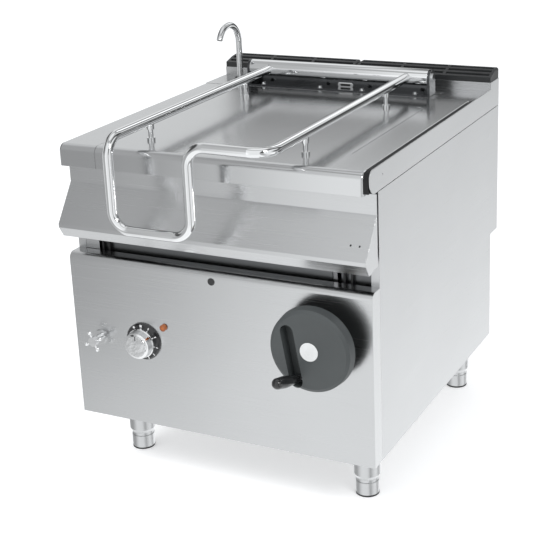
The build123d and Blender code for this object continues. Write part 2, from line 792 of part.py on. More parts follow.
# Gussets between the beam, the deck and the jacket
with BuildPart() as gussets:
    for gusset_x in (-gusset_half_span, 0, gusset_half_span - gusset_thickness):
        with BuildSketch(at_x(gusset_x)):
            with BuildLine():
                Polyline((beam_rear_y, beam_low_z), (beam_rear_y, deck_z - sheet),
                         (jacket_front_at(deck_z - sheet), deck_z - sheet),
                         (jacket_front_at(beam_low_z), beam_low_z), close=True)
            make_face()
        extrude(amount=gusset_thickness)
finish(gussets, "pan_gussets")


def tooth_flank(teeth):
    """Radii and half angles along one involute flank, from root to tip."""
    pitch = gear_module * teeth / 2
    base = pitch * cos(radians(pressure_angle))
    root = pitch - gear_module * dedendum
    tip = pitch + gear_module * addendum
    involute = tan(radians(pressure_angle)) - radians(pressure_angle)
    half_tooth = pi / (2 * teeth) - backlash / (4 * pitch)
    start = max(base, root)
    flank = [(root, half_tooth + involute)] if root < base else []
    steps = 4
    for index in range(steps + 1):
        radius = start + (tip - start) * index / steps
        turn = acos(min(1.0, base / radius))
        flank.append((radius, half_tooth + involute - (tan(turn) - turn)))
    return flank


def tooth_points(teeth, centre_angle):
    """Corner points of one tooth around its own centre line, anticlockwise."""
    flank = tooth_flank(teeth)
    rising = [(r, centre_angle - a) for r, a in flank]
    falling = [(r, centre_angle + a) for r, a in reversed(flank)]
    return [(r * cos(a), r * sin(a)) for r, a in rising + falling]


# Toothed sector of the tilting gear, centred on the pivot pins
sector_pitch = 360.0 / sector_teeth
sector_count = ceil(tilt_range / sector_pitch) + 3
sector_low = mesh_angle - (sector_count - 2.5) * sector_pitch
sector_root = sector_radius - gear_module * dedendum
with BuildPart() as sector:
    with BuildSketch(Plane(origin=(sector_x - sector_thickness / 2, face_y + pivot_y, pivot_z),
                           x_dir=(0, 1, 0), z_dir=(1, 0, 0))):
        outline = []
        for index in range(sector_count):
            outline += tooth_points(sector_teeth, radians(sector_low + index * sector_pitch))
        outline += [(sector_root * cos(radians(mesh_angle + 2 * sector_pitch)),
                     sector_root * sin(radians(mesh_angle + 2 * sector_pitch))),
                    (jacket_front_at(pivot_z + sector_radius) - pivot_y, sector_radius),
                    (jacket_front_at(deck_z - sheet) - pivot_y, deck_z - sheet - pivot_z),
                    (beam_rear_y - pivot_y, deck_z - sheet - pivot_z), (beam_rear_y - pivot_y, boss_radius),
                    (boss_radius, 0)]
        with BuildLine():
            Polyline(*outline, close=True)
        make_face()
    extrude(amount=sector_thickness)
finish(sector, "tilt_sector")

# Pinion and its shaft, coming out of the reducer
pinion_phase = mesh_angle + 180.0
with BuildPart() as pinion:
    with BuildSketch(Plane(origin=(sector_x - pinion_width / 2, face_y + pinion_y, pinion_z),
                           x_dir=(0, 1, 0), z_dir=(1, 0, 0))):
        outline = []
        for index in range(pinion_teeth):
            outline += tooth_points(pinion_teeth, radians(pinion_phase + index * 360.0 / pinion_teeth))
        with BuildLine():
            Polyline(*outline, close=True)
        make_face()
    extrude(amount=pinion_width)
    rod_x(pinion_y, pinion_z, output_radius, reducer_left_x + sheet, sector_x + pinion_width / 2 + sheet)
finish(pinion, "output_pinion")

# Reducer housing with the bores of its two shafts
reducer_front_y = bar_y + crossbar_sheet
with BuildPart() as reducer:
    with BuildSketch(at_x(reducer_left_x)):
        with BuildLine():
            top_radius = reducer_rear_y - pinion_y
            low_z = wheel_z - 2 * reducer_wall
            Polyline((pinion_y + top_radius, pinion_z), (reducer_rear_y, low_z), (reducer_front_y, low_z),
                     (reducer_front_y, crossbar_top_z), (pinion_y - top_radius, pinion_z))
            CenterArc((pinion_y, pinion_z), top_radius, 0, 180)
        make_face()
        with Locations((pinion_y, pinion_z)):
            Circle(output_radius + running, mode=Mode.SUBTRACT)
    extrude(amount=reducer_right_x - reducer_left_x)
    rod_y(wheel_x, wheel_z, shaft_radius + reducer_wall, reducer_front_y, reducer_rear_y - reducer_wall)
    rod_y(wheel_x, wheel_z, shaft_radius + running, reducer_front_y - sheet,
          reducer_rear_y - 2 * reducer_wall, mode=Mode.SUBTRACT)
finish(reducer, "reducer_housing")

# Shaft, its bush on the panel, and the dished handwheel
shaft_rear_y = reducer_rear_y - 2 * reducer_wall - sheet
with BuildPart() as wheel_shaft:
    rod_y(wheel_x, wheel_z, shaft_radius, wheel_front_y + wheel_wall, shaft_rear_y)
finish(wheel_shaft, "handwheel_shaft")

with BuildPart() as wheel_bush:
    rod_y(wheel_x, wheel_z, flange_radius, -2 * sheet, 0)
    rod_y(wheel_x, wheel_z, shaft_radius + 2 * slide_gap - touch, 0, panel_depth / 2)
    rod_y(wheel_x, wheel_z, shaft_radius + running, -3 * sheet, panel_depth, mode=Mode.SUBTRACT)
finish(wheel_bush, "handwheel_bush")

grip_x = wheel_x + grip_pivot_x
grip_z = wheel_z + grip_pivot_z
lean = radians(grip_lean)
groove_top = (grip_x - groove_length * sin(lean), grip_z + groove_length * cos(lean))
with BuildPart() as wheel:
    with BuildSketch(at_x(wheel_x)):
        with BuildLine():
            rim_z = wheel_z + wheel_radius
            Polyline((wheel_front_y, wheel_z), (wheel_front_y, rim_z - 2 * wheel_wall),
                     (wheel_front_y + wheel_wall, rim_z - wheel_wall / 2),
                     (wheel_rear_y - wheel_wall, rim_z), (wheel_rear_y, rim_z - wheel_wall / 2),
                     (wheel_rear_y, rim_z - 2 * wheel_wall),
                     (wheel_front_y + 2 * wheel_wall, rim_z - 3 * wheel_wall),
                     (wheel_front_y + 2 * wheel_wall, wheel_z + wheel_hub_radius),
                     (wheel_hub_rear_y, wheel_z + wheel_hub_radius - wheel_wall / 2),
                     (wheel_hub_rear_y, wheel_z), close=True)
        make_face()
    revolve(axis=Axis((wheel_x, face_y, wheel_z), (0, 1, 0)))
    with BuildSketch(at_y(wheel_rear_y)):
        with Locations(((grip_x + groove_top[0]) / 2, (grip_z + groove_top[1]) / 2)):
            SlotCenterToCenter(groove_length, 2 * groove_half_width + wheel_wall, rotation=90 + grip_lean)
    extrude(amount=wheel_rear_y - wheel_front_y - wheel_wall)
    with BuildSketch(at_y(wheel_front_y + groove_depth)):
        with Locations(((grip_x + groove_top[0]) / 2, (grip_z + groove_top[1]) / 2)):
            SlotCenterToCenter(groove_length, 2 * groove_half_width, rotation=90 + grip_lean)
    extrude(amount=groove_depth + wheel_wall, mode=Mode.SUBTRACT)
    rod_y(wheel_x, wheel_z, shaft_radius, wheel_front_y + wheel_wall, 0, mode=Mode.SUBTRACT)
    rod_y(wheel_x, wheel_z, wheel_cap_radius, wheel_front_y - sheet, wheel_front_y + sheet,
          mode=Mode.SUBTRACT)
finish(wheel, "handwheel")

with BuildPart() as wheel_cap:
    rod_y(wheel_x, wheel_z, wheel_cap_radius, wheel_front_y - sheet / 2, wheel_front_y + sheet)
    fillet(wheel_cap.edges().sort_by(Axis.Y)[0], radius=sheet / 4)
finish(wheel_cap, "handwheel_cap")

# Folding grip: cross pin, eyed spindle and turning sleeve
fold_axis = Vector(cos(lean), 0, sin(lean))
groove_dir = Vector(-sin(lean), 0, cos(lean))
grip_dir = groove_dir * cos(radians(grip_open)) + Vector(0, -1, 0) * sin(radians(grip_open))
grip_origin = Vector(grip_x, face_y + grip_pivot_y, grip_z)
pin_half = groove_half_width - touch
pin_plane = Plane(origin=grip_origin - fold_axis * pin_half, x_dir=grip_dir, z_dir=fold_axis)
with BuildPart() as grip_pin:
    with BuildSketch(pin_plane):
        Circle(grip_pin_radius)
    extrude(amount=2 * pin_half)
finish(grip_pin, "grip_pin")

eye_plane = Plane(origin=grip_origin - fold_axis * (eye_width / 2), x_dir=grip_dir, z_dir=fold_axis)
spindle_plane = Plane(origin=grip_origin, x_dir=fold_axis, z_dir=grip_dir)
with BuildPart() as spindle:
    with BuildSketch(eye_plane):
        Circle(eye_radius)
    extrude(amount=eye_width)
    with BuildSketch(spindle_plane.offset(eye_radius / 2)):
        Circle(spindle_radius)
    extrude(amount=grip_length - 2 * grip_tip)
    with BuildSketch(eye_plane.offset(-sheet)):
        Circle(grip_pin_radius + running)
    extrude(amount=eye_width + 2 * sheet, mode=Mode.SUBTRACT)
finish(spindle, "grip_spindle")

grip_start = eye_radius + 2 * touch
grip_plane = Plane(origin=grip_origin, x_dir=fold_axis, z_dir=fold_axis.cross(grip_dir))
with BuildPart() as grip:
    with BuildSketch(grip_plane):
        with BuildLine():
            bulge = grip_length * grip_bulge
            Line((0, grip_start), (grip_neck_radius, grip_start))
            Spline((grip_neck_radius, grip_start), (grip_radius, bulge), (grip_tip, grip_length - grip_tip),
                   tangents=((0, 1), (0, 1)))
            RadiusArc((grip_tip, grip_length - grip_tip), (0, grip_length), -grip_tip)
            Line((0, grip_length), (0, grip_start))
        make_face()
    revolve(axis=Axis(grip_origin, grip_dir))
    with BuildSketch(spindle_plane):
        Circle(spindle_radius + running)
    extrude(amount=eye_radius / 2 + grip_length - 2 * grip_tip + touch, mode=Mode.SUBTRACT)
finish(grip, "grip_sleeve")

# Thermostat with its printed skirt and chromed knob
with BuildPart() as skirt:
    rod_y(thermostat_x, thermostat_z, skirt_radius, -skirt_thickness, 0)
    chamfer(skirt.edges().sort_by(Axis.Y)[0], length=skirt_thickness / 2)
    rod_y(thermostat_x, thermostat_z, shaft_radius, -2 * skirt_thickness, sheet, mode=Mode.SUBTRACT)
finish(skirt, "thermostat_skirt")

knob_rear_y = -skirt_thickness - touch
spindle_bore = shaft_radius / 2
with BuildPart() as thermostat_body:
    rod_y(thermostat_x, thermostat_z, shaft_radius - touch, -skirt_thickness + touch, sheet)
    box_between(thermostat_x - thermostat_half, thermostat_x + thermostat_half, sheet,
                panel_depth - sheet, thermostat_z - thermostat_half, thermostat_z + thermostat_half)
    rod_y(thermostat_x, thermostat_z, spindle_bore + running, -2 * skirt_thickness, panel_depth / 2,
          mode=Mode.SUBTRACT)
finish(thermostat_body, "thermostat_body")

knob_face_radius = knob_radius - 3 * sheet - knob_step / 2
with BuildPart() as knob:
    with BuildSketch(at_x(thermostat_x)):
        with BuildLine():
            Polyline((knob_rear_y, thermostat_z), (knob_rear_y, thermostat_z + knob_radius),
                     (knob_rear_y - knob_step, thermostat_z + knob_radius),
                     (knob_rear_y - knob_step - sheet, thermostat_z + knob_radius - sheet),
                     (knob_front_y + knob_step / 2, thermostat_z + knob_radius - 2 * sheet))
            RadiusArc((knob_front_y + knob_step / 2, thermostat_z + knob_radius - 2 * sheet),
                      (knob_front_y, thermostat_z + knob_face_radius), knob_step / 2 + sheet)
            Polyline((knob_front_y, thermostat_z + knob_face_radius), (knob_front_y, thermostat_z),
                     (knob_rear_y, thermostat_z))
        make_face()
    revolve(axis=Axis((thermostat_x, face_y, thermostat_z), (0, 1, 0)))
    rod_y(thermostat_x, thermostat_z, spindle_bore, knob_rear_y, panel_depth / 2 - touch)
finish(knob, "thermostat_knob")

# Indicator lamp
with BuildPart() as lamp:
    rod_y(lamp_x, lamp_z, lamp_radius, -3 * sheet, 0)
    fillet(lamp.edges().sort_by(Axis.Y)[0], radius=2 * sheet)
    rod_y(lamp_x, lamp_z, lamp_radius - slide_gap, 0, panel_depth / 2)
finish(lamp, "indicator_lamp")

# Blanking plug in the panel
with BuildPart() as plug:
    rod_y(plug_x, plug_z, plug_radius, -sheet / 2, 0)
    rod_y(plug_x, plug_z, plug_radius - slide_gap - running, 0, sheet)
    rod_y(plug_x, plug_z, plug_radius - slide_gap / 2, sheet, 2 * sheet)
finish(plug, "panel_plug")

# Water tap: valve body through the panel, cross handle in front, pipes behind
with BuildPart() as valve:
    rod_y(tap_x, tap_z, 3 * tap_stem_radius, -2 * sheet, 0)
    rod_y(tap_x, tap_z, tap_stem_radius + 2 * slide_gap - touch, 0, sheet)
    rod_y(tap_x, tap_z, valve_radius, sheet, valve_rear_y)
    rod_y(tap_x, tap_z, tap_stem_radius + sheet, tap_handle_y + 4 * sheet, -2 * sheet)
    rod_y(tap_x, tap_z, tap_stem_radius + running, tap_handle_y, panel_depth, mode=Mode.SUBTRACT)
finish(valve, "tap_valve")

with BuildPart() as tap_handle:
    rod_y(tap_x, tap_z, tap_stem_radius, tap_handle_y, panel_depth - touch)
    rod_y(tap_x, tap_z, 2 * tap_stem_radius, tap_handle_y - 3 * sheet, tap_handle_y + 3 * sheet)
    for arm in range(4):
        arm_angle = radians(tap_arm_turn) + arm * pi / 2
        arm_dir = Vector(cos(arm_angle), 0, sin(arm_angle))
        hub = Vector(tap_x, face_y + tap_handle_y, tap_z)
        with BuildSketch(Plane(origin=hub, x_dir=(0, 1, 0), z_dir=arm_dir)):
            Circle(tap_lobe_radius - sheet)
        extrude(amount=tap_handle_radius - tap_lobe_radius)
        with Locations(hub + arm_dir * (tap_handle_radius - tap_lobe_radius)):
            Sphere(tap_lobe_radius)
finish(tap_handle, "tap_handle")


def pipe_run(points, radius, bend):
    """Round pipe swept along straight runs with rounded corners."""
    with BuildLine() as route:
        FilletPolyline(*points, radius=bend)
    with BuildSketch(Plane(origin=route.wire() @ 0, z_dir=route.wire() % 0)) as end:
        Circle(radius)
    sweep(end.sketch, path=route.wire())


supply_y = valve_rear_y - 2 * pipe_radius
with BuildPart() as supply_pipe:
    pipe_run([(tap_x, face_y + lower_rear_y + 8 * sheet, inlet_z), (tap_x, face_y + supply_y, inlet_z),
              (tap_x, face_y + supply_y, tap_z - valve_radius)], pipe_radius, pipe_bend)
    rod_y(tap_x, inlet_z, inlet_radius, lower_rear_y + touch, lower_rear_y + 8 * sheet)
finish(supply_pipe, "supply_pipe")

with BuildPart() as spout_pipe:
    pipe_run([(tap_x, face_y + valve_rear_y, tap_z), (tap_x, face_y + spout_y, tap_z),
              (spout_x, face_y + spout_y, tap_z + 4 * pipe_bend),
              (spout_x, face_y + spout_y, worktop_z - 10 * sheet)], pipe_radius, pipe_bend)
finish(spout_pipe, "spout_pipe")

# Cable gland in the recess
with BuildPart() as gland:
    rod_y(gland_x, gland_z, pipe_radius + slide_gap, lower_rear_y - 6 * sheet, lower_rear_y + 2 * sheet)
    with BuildSketch(at_y(lower_rear_y + 6 * sheet)):
        with Locations((gland_x, gland_z)):
            RegularPolygon(radius=2 * pipe_radius, side_count=6)
    extrude(amount=6 * sheet + sheet)
    rod_y(gland_x, gland_z, pipe_radius - sheet, lower_rear_y - 8 * sheet, lower_rear_y + 8 * sheet,
          mode=Mode.SUBTRACT)
finish(gland, "cable_gland")

# Rating plate holder, bare
with BuildPart() as rating_plate:
    box_between(plate_left_x, plate_right_x, side_front_y + sheet, side_front_y + 2 * sheet,
                panel_top_z - 4 * side_flange, plate_top_z)
finish(rating_plate, "rating_plate")

# Shelf of the pan that carries the hinge of the lid
with BuildPart() as shelf:
    box_between(-shelf_half_length, shelf_half_length, shelf_y, shelf_rear_y, worktop_z - shelf_sheet,
                worktop_z)
    box_between(-shelf_half_length, shelf_half_length, shelf_y, shelf_y + shelf_sheet,
                deck_z - 4 * shelf_sheet, worktop_z)
    box_between(-shelf_half_length, shelf_half_length, jacket_rear_y, shelf_y + shelf_sheet,
                deck_z - 4 * shelf_sheet, deck_z - 3 * shelf_sheet)
    box_between(-shelf_half_length, shelf_half_length, shelf_rear_y - sheet, shelf_rear_y,
                deck_z - shelf_sheet, worktop_z)
finish(shelf, "hinge_shelf")

# Hinge base: channel with upright ends that hold the hinge pins
with BuildPart() as hinge_base:
    box_between(-hinge_half_length, hinge_half_length, hinge_base_front_y, hinge_base_rear_y, worktop_z,
                worktop_z + shelf_sheet)
    box_between(-hinge_half_length, hinge_half_length, hinge_base_rear_y - shelf_sheet, hinge_base_rear_y,
                worktop_z, hinge_z - hinge_tube_radius - slide_gap)
    for end_x in (-hinge_half_length - hinge_bracket, hinge_half_length):
        with BuildSketch(at_x(end_x)):
            with BuildLine():
                Polyline((hinge_y + hinge_tube_radius, hinge_z), (hinge_base_rear_y, worktop_z),
                         (hinge_base_front_y, worktop_z), (hinge_y - hinge_tube_radius, hinge_z))
                CenterArc((hinge_y, hinge_z), hinge_tube_radius, 0, 180)
            make_face()
            with Locations((hinge_y, hinge_z)):
                Circle(hinge_pin_radius + running, mode=Mode.SUBTRACT)
        extrude(amount=hinge_bracket)
finish(hinge_base, "hinge_base")

# Round spring housing that turns with the lid, and its end plugs with pins
tube_half = hinge_half_length - touch
pin_x = hinge_half_length + hinge_bracket + touch
with BuildPart() as hinge_tube:
    rod_x(hinge_y, hinge_z, hinge_tube_radius, -tube_half, tube_half)
    rod_x(hinge_y, hinge_z, hinge_tube_radius - hinge_tube_wall, -tube_half - sheet, tube_half + sheet,
          mode=Mode.SUBTRACT)
    for stud_side in (-1, 1):
        rod_y(stud_side * handle_x, hinge_z, handle_radius, hinge_y - 2 * hinge_tube_radius, hinge_y,
              mode=Mode.SUBTRACT)
finish(hinge_tube, "hinge_tube")

with BuildPart() as plugs:
    for side in (-1, 1):
        for radius, near_x, far_x in (
            (hinge_tube_radius - hinge_tube_wall, tube_half - plug_depth, tube_half),
            (hinge_pin_radius, tube_half, pin_x),
            (hinge_pin_radius + 2 * sheet, pin_x, pin_x + 2 * sheet),
        ):
            ends = sorted((side * near_x, side * far_x))
            rod_x(hinge_y, hinge_z, radius, ends[0], ends[1])
finish(plugs, "hinge_plugs")

# Torsion spring inside the housing, drawn as its outer coil body
with BuildPart() as spring:
    spring_half = tube_half - plug_depth
    rod_x(hinge_y, hinge_z, hinge_tube_radius - hinge_tube_wall - sheet, -spring_half, spring_half)
    rod_x(hinge_y, hinge_z, hinge_tube_radius / 2, -spring_half, spring_half, mode=Mode.SUBTRACT)
finish(spring, "lid_spring")

# Bent tube handle on the lid, one tube from hinge to hinge
handle_end_y = hinge_y - hinge_tube_radius + hinge_tube_wall
with BuildPart() as handle:
    pipe_run([(handle_x, face_y + handle_end_y, hinge_z), (handle_x, face_y + handle_front_y, hinge_z),
              (handle_inner_x, face_y + handle_front_y, hinge_z),
              (handle_inner_x, face_y + handle_front_y, handle_low_z),
              (-handle_x, face_y + handle_front_y, handle_low_z),
              (-handle_x, face_y + handle_front_y, hinge_z),
              (-handle_x, face_y + handle_end_y, hinge_z)], handle_radius, handle_bend)
finish(handle, "lid_handle")

# Studs between the handle and the lid
with BuildPart() as studs:
    for stud_y in (post_front_row_y, post_rear_row_y):
        for stud_x in (-handle_x, handle_x):
            rod_z(stud_x, stud_y, stud_foot_radius, worktop_z, worktop_z + stud_foot_height)
            rod_z(stud_x, stud_y, stud_radius, worktop_z + stud_foot_height, hinge_z - handle_radius / 2)
            rod_z(stud_x, stud_y, stud_foot_radius - sheet / 2,
                  hinge_z - handle_radius - stud_collar_height, hinge_z - handle_radius / 2)
            rod_z(stud_x, stud_y, stud_radius / 2, worktop_z - 3 * sheet, worktop_z)
            rod_y(stud_x, hinge_z, handle_radius, stud_y - 2 * handle_radius, stud_y + 2 * handle_radius,
                  mode=Mode.SUBTRACT)
finish(studs, "handle_studs")

# Swivel spout and the fitting it turns in
with BuildPart() as spout_nut:
    rod_z(spout_x, spout_y, spout_nut_radius, worktop_z, worktop_z + spout_nut_height)
    chamfer(spout_nut.edges().sort_by(Axis.Z)[-1], length=spout_nut_height / 4)
    rod_z(spout_x, spout_y, spout_radius + slide_gap - touch, worktop_z - 10 * sheet, worktop_z)
    rod_z(spout_x, spout_y, spout_radius + running, worktop_z - 8 * sheet, worktop_z + 2 * spout_nut_height,
          mode=Mode.SUBTRACT)
finish(spout_nut, "spout_fitting")

with BuildPart() as spout:
    centre_z = spout_top_z - spout_bend
    stem = (spout_x, face_y + spout_y, worktop_z - 6 * sheet)
    elbow = Vector(spout_x, face_y + spout_y, centre_z)
    sweep_end = radians(spout_sweep)
    crown = Vector(spout_x, face_y + spout_y - spout_bend, spout_top_z)
    tip = Vector(spout_x, face_y + spout_y - spout_bend + spout_bend * cos(sweep_end),
                 centre_z + spout_bend * sin(sweep_end))
    with BuildLine() as spout_route:
        Line(stem, elbow)
        ThreePointArc(elbow, crown, tip)
    with BuildSketch(Plane(origin=stem, z_dir=(0, 0, 1))):
        Circle(spout_radius)
        Circle(spout_radius - spout_wall, mode=Mode.SUBTRACT)
    sweep(path=spout_route.wire())
finish(spout, "swivel_spout")
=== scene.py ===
"""Looks of the tilting bratt pan: finishes, trim, studio and camera.

The solids come from the frame and keep their place. This script dresses them, adds the shallow trim
that rides their bodies, and sets up the studio and the camera.
"""

import json
import logging
import math
from dataclasses import dataclass, field
from enum import Enum
from typing import Iterable, Sequence

import bmesh
import bpy
from mathutils import Matrix, Vector

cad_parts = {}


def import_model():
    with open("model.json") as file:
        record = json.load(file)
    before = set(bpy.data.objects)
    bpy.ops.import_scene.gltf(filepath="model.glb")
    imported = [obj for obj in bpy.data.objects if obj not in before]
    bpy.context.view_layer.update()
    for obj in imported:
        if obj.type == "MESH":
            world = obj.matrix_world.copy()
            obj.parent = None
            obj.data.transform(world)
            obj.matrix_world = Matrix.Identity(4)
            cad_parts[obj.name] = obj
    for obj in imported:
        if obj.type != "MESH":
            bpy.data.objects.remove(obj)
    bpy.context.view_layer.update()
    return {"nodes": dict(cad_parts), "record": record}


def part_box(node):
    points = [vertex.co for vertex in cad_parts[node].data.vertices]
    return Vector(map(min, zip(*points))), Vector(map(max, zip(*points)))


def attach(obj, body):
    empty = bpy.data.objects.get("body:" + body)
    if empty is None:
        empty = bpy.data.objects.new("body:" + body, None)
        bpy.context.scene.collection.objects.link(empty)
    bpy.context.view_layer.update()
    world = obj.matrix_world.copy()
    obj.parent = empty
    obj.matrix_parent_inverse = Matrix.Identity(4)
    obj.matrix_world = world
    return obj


log = logging.getLogger("bratt_pan")

Point = tuple[float, float, float]
Colour = tuple[float, float, float]
Pair = tuple[float, float]
Band = tuple[float, float, float, float]
Rgba = tuple[float, float, float, float]
Outline = Sequence[Pair]
Link = tuple[bpy.types.Node, str | int]
Level = float | Link

MM = 0.001
NODE_SHARP_ANGLE = math.radians(30)
TRIM_SHARP_ANGLE = math.radians(35)
PATTERN_SPAN = (0.3, 0.7)
TINT_SPAN = (0.32, 0.68)
METAL_CLOUDS = (3.0, 3.0, 3.0)
DUST_CLOUDS = (14.0, 14.0, 14.0)
COAT_ROUGHNESS = 0.08
WHITE: Rgba = (1.0, 1.0, 1.0, 1.0)
RIGHT: Point = (1, 0, 0)
REARWARD: Point = (0, 1, 0)
FORWARD: Point = (0, -1, 0)
UPWARD: Point = (0, 0, 1)


class Grain(Enum):
    """Direction in which a sheet was ground, as the stretch of its noise."""

    ACROSS = (4.0, 900.0, 900.0)
    DEEP = (900.0, 4.0, 900.0)
    EVEN = (160.0, 160.0, 160.0)
    WAVY = (45.0, 45.0, 45.0)
    ROUND = (3.0, 3.0, 900.0)


class NodeTree:
    """A shader's node tree, with short calls to add and join its nodes."""

    def __init__(self, owner: bpy.types.Material | bpy.types.World) -> None:
        """Empty the tree of its owner.

        Args:
            owner: The material or world that the tree belongs to.
        """
        owner.use_nodes = True
        self.tree = owner.node_tree
        self.tree.nodes.clear()

    def add(self, kind: str, **values: object) -> bpy.types.Node:
        """Add a node and set its sockets by name.

        Args:
            kind: Blender's type name of the node.
            values: Socket names, with underscores for spaces, and their values.

        Returns:
            The new node.
        """
        node = self.tree.nodes.new(kind)
        for key, value in values.items():
            node.inputs[key.replace("_", " ")].default_value = value
        return node

    def join(self, source: bpy.types.Node, out: str | int, target: bpy.types.Node,
             into: str | int) -> None:
        """Link an output of one node to an input of another.

        Args:
            source: Node that gives the value.
            out: Its output's name or number.
            target: Node that takes the value.
            into: Its input's name or number.
        """
        self.tree.links.new(source.outputs[out], target.inputs[into])

    def ramp(self, value: Link, span: Pair, low: Level, high: Level) -> Link:
        """Smooth change from one level to another while a value crosses a span.

        Args:
            value: The value that steers it.
            span: Where the change starts and ends.
            low: Level at its start, a number or another node's output.
            high: Level at its end.

        Returns:
            The result's node and output.
        """
        node = self.add("ShaderNodeMapRange")
        node.interpolation_type = "SMOOTHSTEP"
        self.join(value[0], value[1], node, 0)
        node.inputs[1].default_value, node.inputs[2].default_value = span
        for socket, level in ((3, low), (4, high)):
            if isinstance(level, tuple):
                self.join(level[0], level[1], node, socket)
            else:
                node.inputs[socket].default_value = level
        return node, 0

    def band(self, value: Link, edges: Band, outside: Level, inside: Level) -> Link:
        """Level that holds only while a value lies between soft edges.

        Args:
            value: The value that steers it.
            edges: Where the band begins, is full, is still full and ends.
            outside: Level outside the band.
            inside: Level inside it.

        Returns:
            The result's node and output.
        """
        begun = self.ramp(value, edges[:2], outside, inside)
        return self.ramp(value, edges[2:], begun, outside)

    def either(self, *rays: str) -> Link:
        """Switch that is on for rays of any of the given kinds.

        Args:
            rays: Output names of the light path node.

        Returns:
            A node and its output, which is 1 for these rays and 0 for others.
        """
        path = self.add("ShaderNodeLightPath")
        found: Link = (path, rays[0])
        for ray in rays[1:]:
            node = self.add("ShaderNodeMath")
            node.operation = "MAXIMUM"
            self.join(found[0], found[1], node, 0)
            self.join(path, ray, node, 1)
            found = (node, 0)
        return found


class NodeSheet(NodeTree):
    """A material with a principled shader and patterns in the object's own frame."""

    def __init__(self, name: str) -> None:
        """Start an empty material.

        Args:
            name: The material's name.
        """
        self.material = bpy.data.materials.new(name)
        super().__init__(self.material)
        self.shader = self.add("ShaderNodeBsdfPrincipled")
        self.output = self.add("ShaderNodeOutputMaterial")
        self.join(self.shader, "BSDF", self.output, "Surface")

    def noise(self, stretch: Sequence[float], detail: float, roughness: float) -> bpy.types.Node:
        """Noise in the object's own frame, stretched along its axes.

        Args:
            stretch: Scale along X, Y and Z.
            detail: Number of octaves.
            roughness: Strength of the finer octaves.

        Returns:
            The noise node.
        """
        place = self.add("ShaderNodeTexCoord")
        stretched = self.add("ShaderNodeMapping", Scale=tuple(stretch))
        pattern = self.add("ShaderNodeTexNoise", Scale=1.0, Detail=detail, Roughness=roughness)
        self.join(place, "Object", stretched, "Vector")
        self.join(stretched, "Vector", pattern, "Vector")
        return pattern

    def spread(self, source: bpy.types.Node, out: str | int, low: float,
               high: float) -> bpy.types.Node:
        """Map a pattern's middle range to a range of values.

        Args:
            source: The pattern's node.
            out: Its output.
            low: Value where the pattern is weak.
            high: Value where it is strong.

        Returns:
            The mapping node, whose first output is the value.
        """
        ranged = self.add("ShaderNodeMapRange")
        for index, value in enumerate((*PATTERN_SPAN, low, high), start=1):
            ranged.inputs[index].default_value = value
        self.join(source, out, ranged, 0)
        return ranged

    def tint(self, source: bpy.types.Node, out: str | int, first: Colour,
             second: Colour) -> bpy.types.Node:
        """Colour that runs between two tones along a pattern.

        Args:
            source: The pattern's node.
            out: Its output.
            first: Tone where the pattern is weak.
            second: Tone where it is strong.

        Returns:
            The colour ramp node.
        """
        ramp = self.add("ShaderNodeValToRGB")
        for stop, position, colour in zip(ramp.color_ramp.elements, TINT_SPAN, (first, second)):
            stop.position = position
            stop.color = (*colour, 1.0)
        self.join(source, out, ramp, "Fac")
        return ramp

    def relief(self, source: bpy.types.Node, out: str | int, depth: float, edge: float) -> None:
        """Bump from a pattern, over edges that catch light as if slightly rounded.

        Args:
            source: The pattern's node.
            out: Its output.
            depth: Height of the pattern in metres.
            edge: Radius of the softened edges in metres, or 0 for none.
        """
        bump = self.add("ShaderNodeBump", Strength=1.0, Distance=depth)
        self.join(source, out, bump, "Height")
        if edge > 0:
            rounded = self.add("ShaderNodeBevel", Radius=edge)
            rounded.samples = 4
            self.join(rounded, "Normal", bump, "Normal")
        self.join(bump, "Normal", self.shader, "Normal")


def shade(colour: Colour, factor: float) -> Colour:
    """Return a colour made lighter or darker by a factor."""
    red, green, blue = (min(part * factor, 1.0) for part in colour)
    return red, green, blue


@dataclass(frozen=True)
class SteelFinish:
    """Ground or polished metal, with its grain, faint clouding and edge light.

    Attributes:
        name: The material's name.
        colour: Colour of the bare metal.
        roughness: Middle of the roughness.
        spread: How far the grain moves the roughness either way.
        grain: Direction of the grinding.
        depth: Height of the grain in metres.
        cloud: Share by which the clouds lighten and darken the colour.
        edge: Radius of the softened edges in metres.
    """

    name: str
    colour: Colour
    roughness: float
    spread: float = 0.06
    grain: Grain = Grain.ACROSS
    depth: float = 0.000004
    cloud: float = 0.04
    edge: float = 0.0008

    def build(self) -> bpy.types.Material:
        """Make the material.

        Returns:
            The finished material.
        """
        sheet = NodeSheet(self.name)
        sheet.shader.inputs["Metallic"].default_value = 1.0
        clouds = sheet.noise(METAL_CLOUDS, 3.0, 0.5)
        toned = sheet.tint(clouds, 0, shade(self.colour, 1.0 - self.cloud),
                           shade(self.colour, 1.0 + self.cloud))
        sheet.join(toned, "Color", sheet.shader, "Base Color")
        lines = sheet.noise(self.grain.value, 4.0, 0.6)
        ranged = sheet.spread(lines, 0, self.roughness - self.spread, self.roughness + self.spread)
        sheet.join(ranged, 0, sheet.shader, "Roughness")
        sheet.relief(lines, 0, self.depth, self.edge)
        return sheet.material


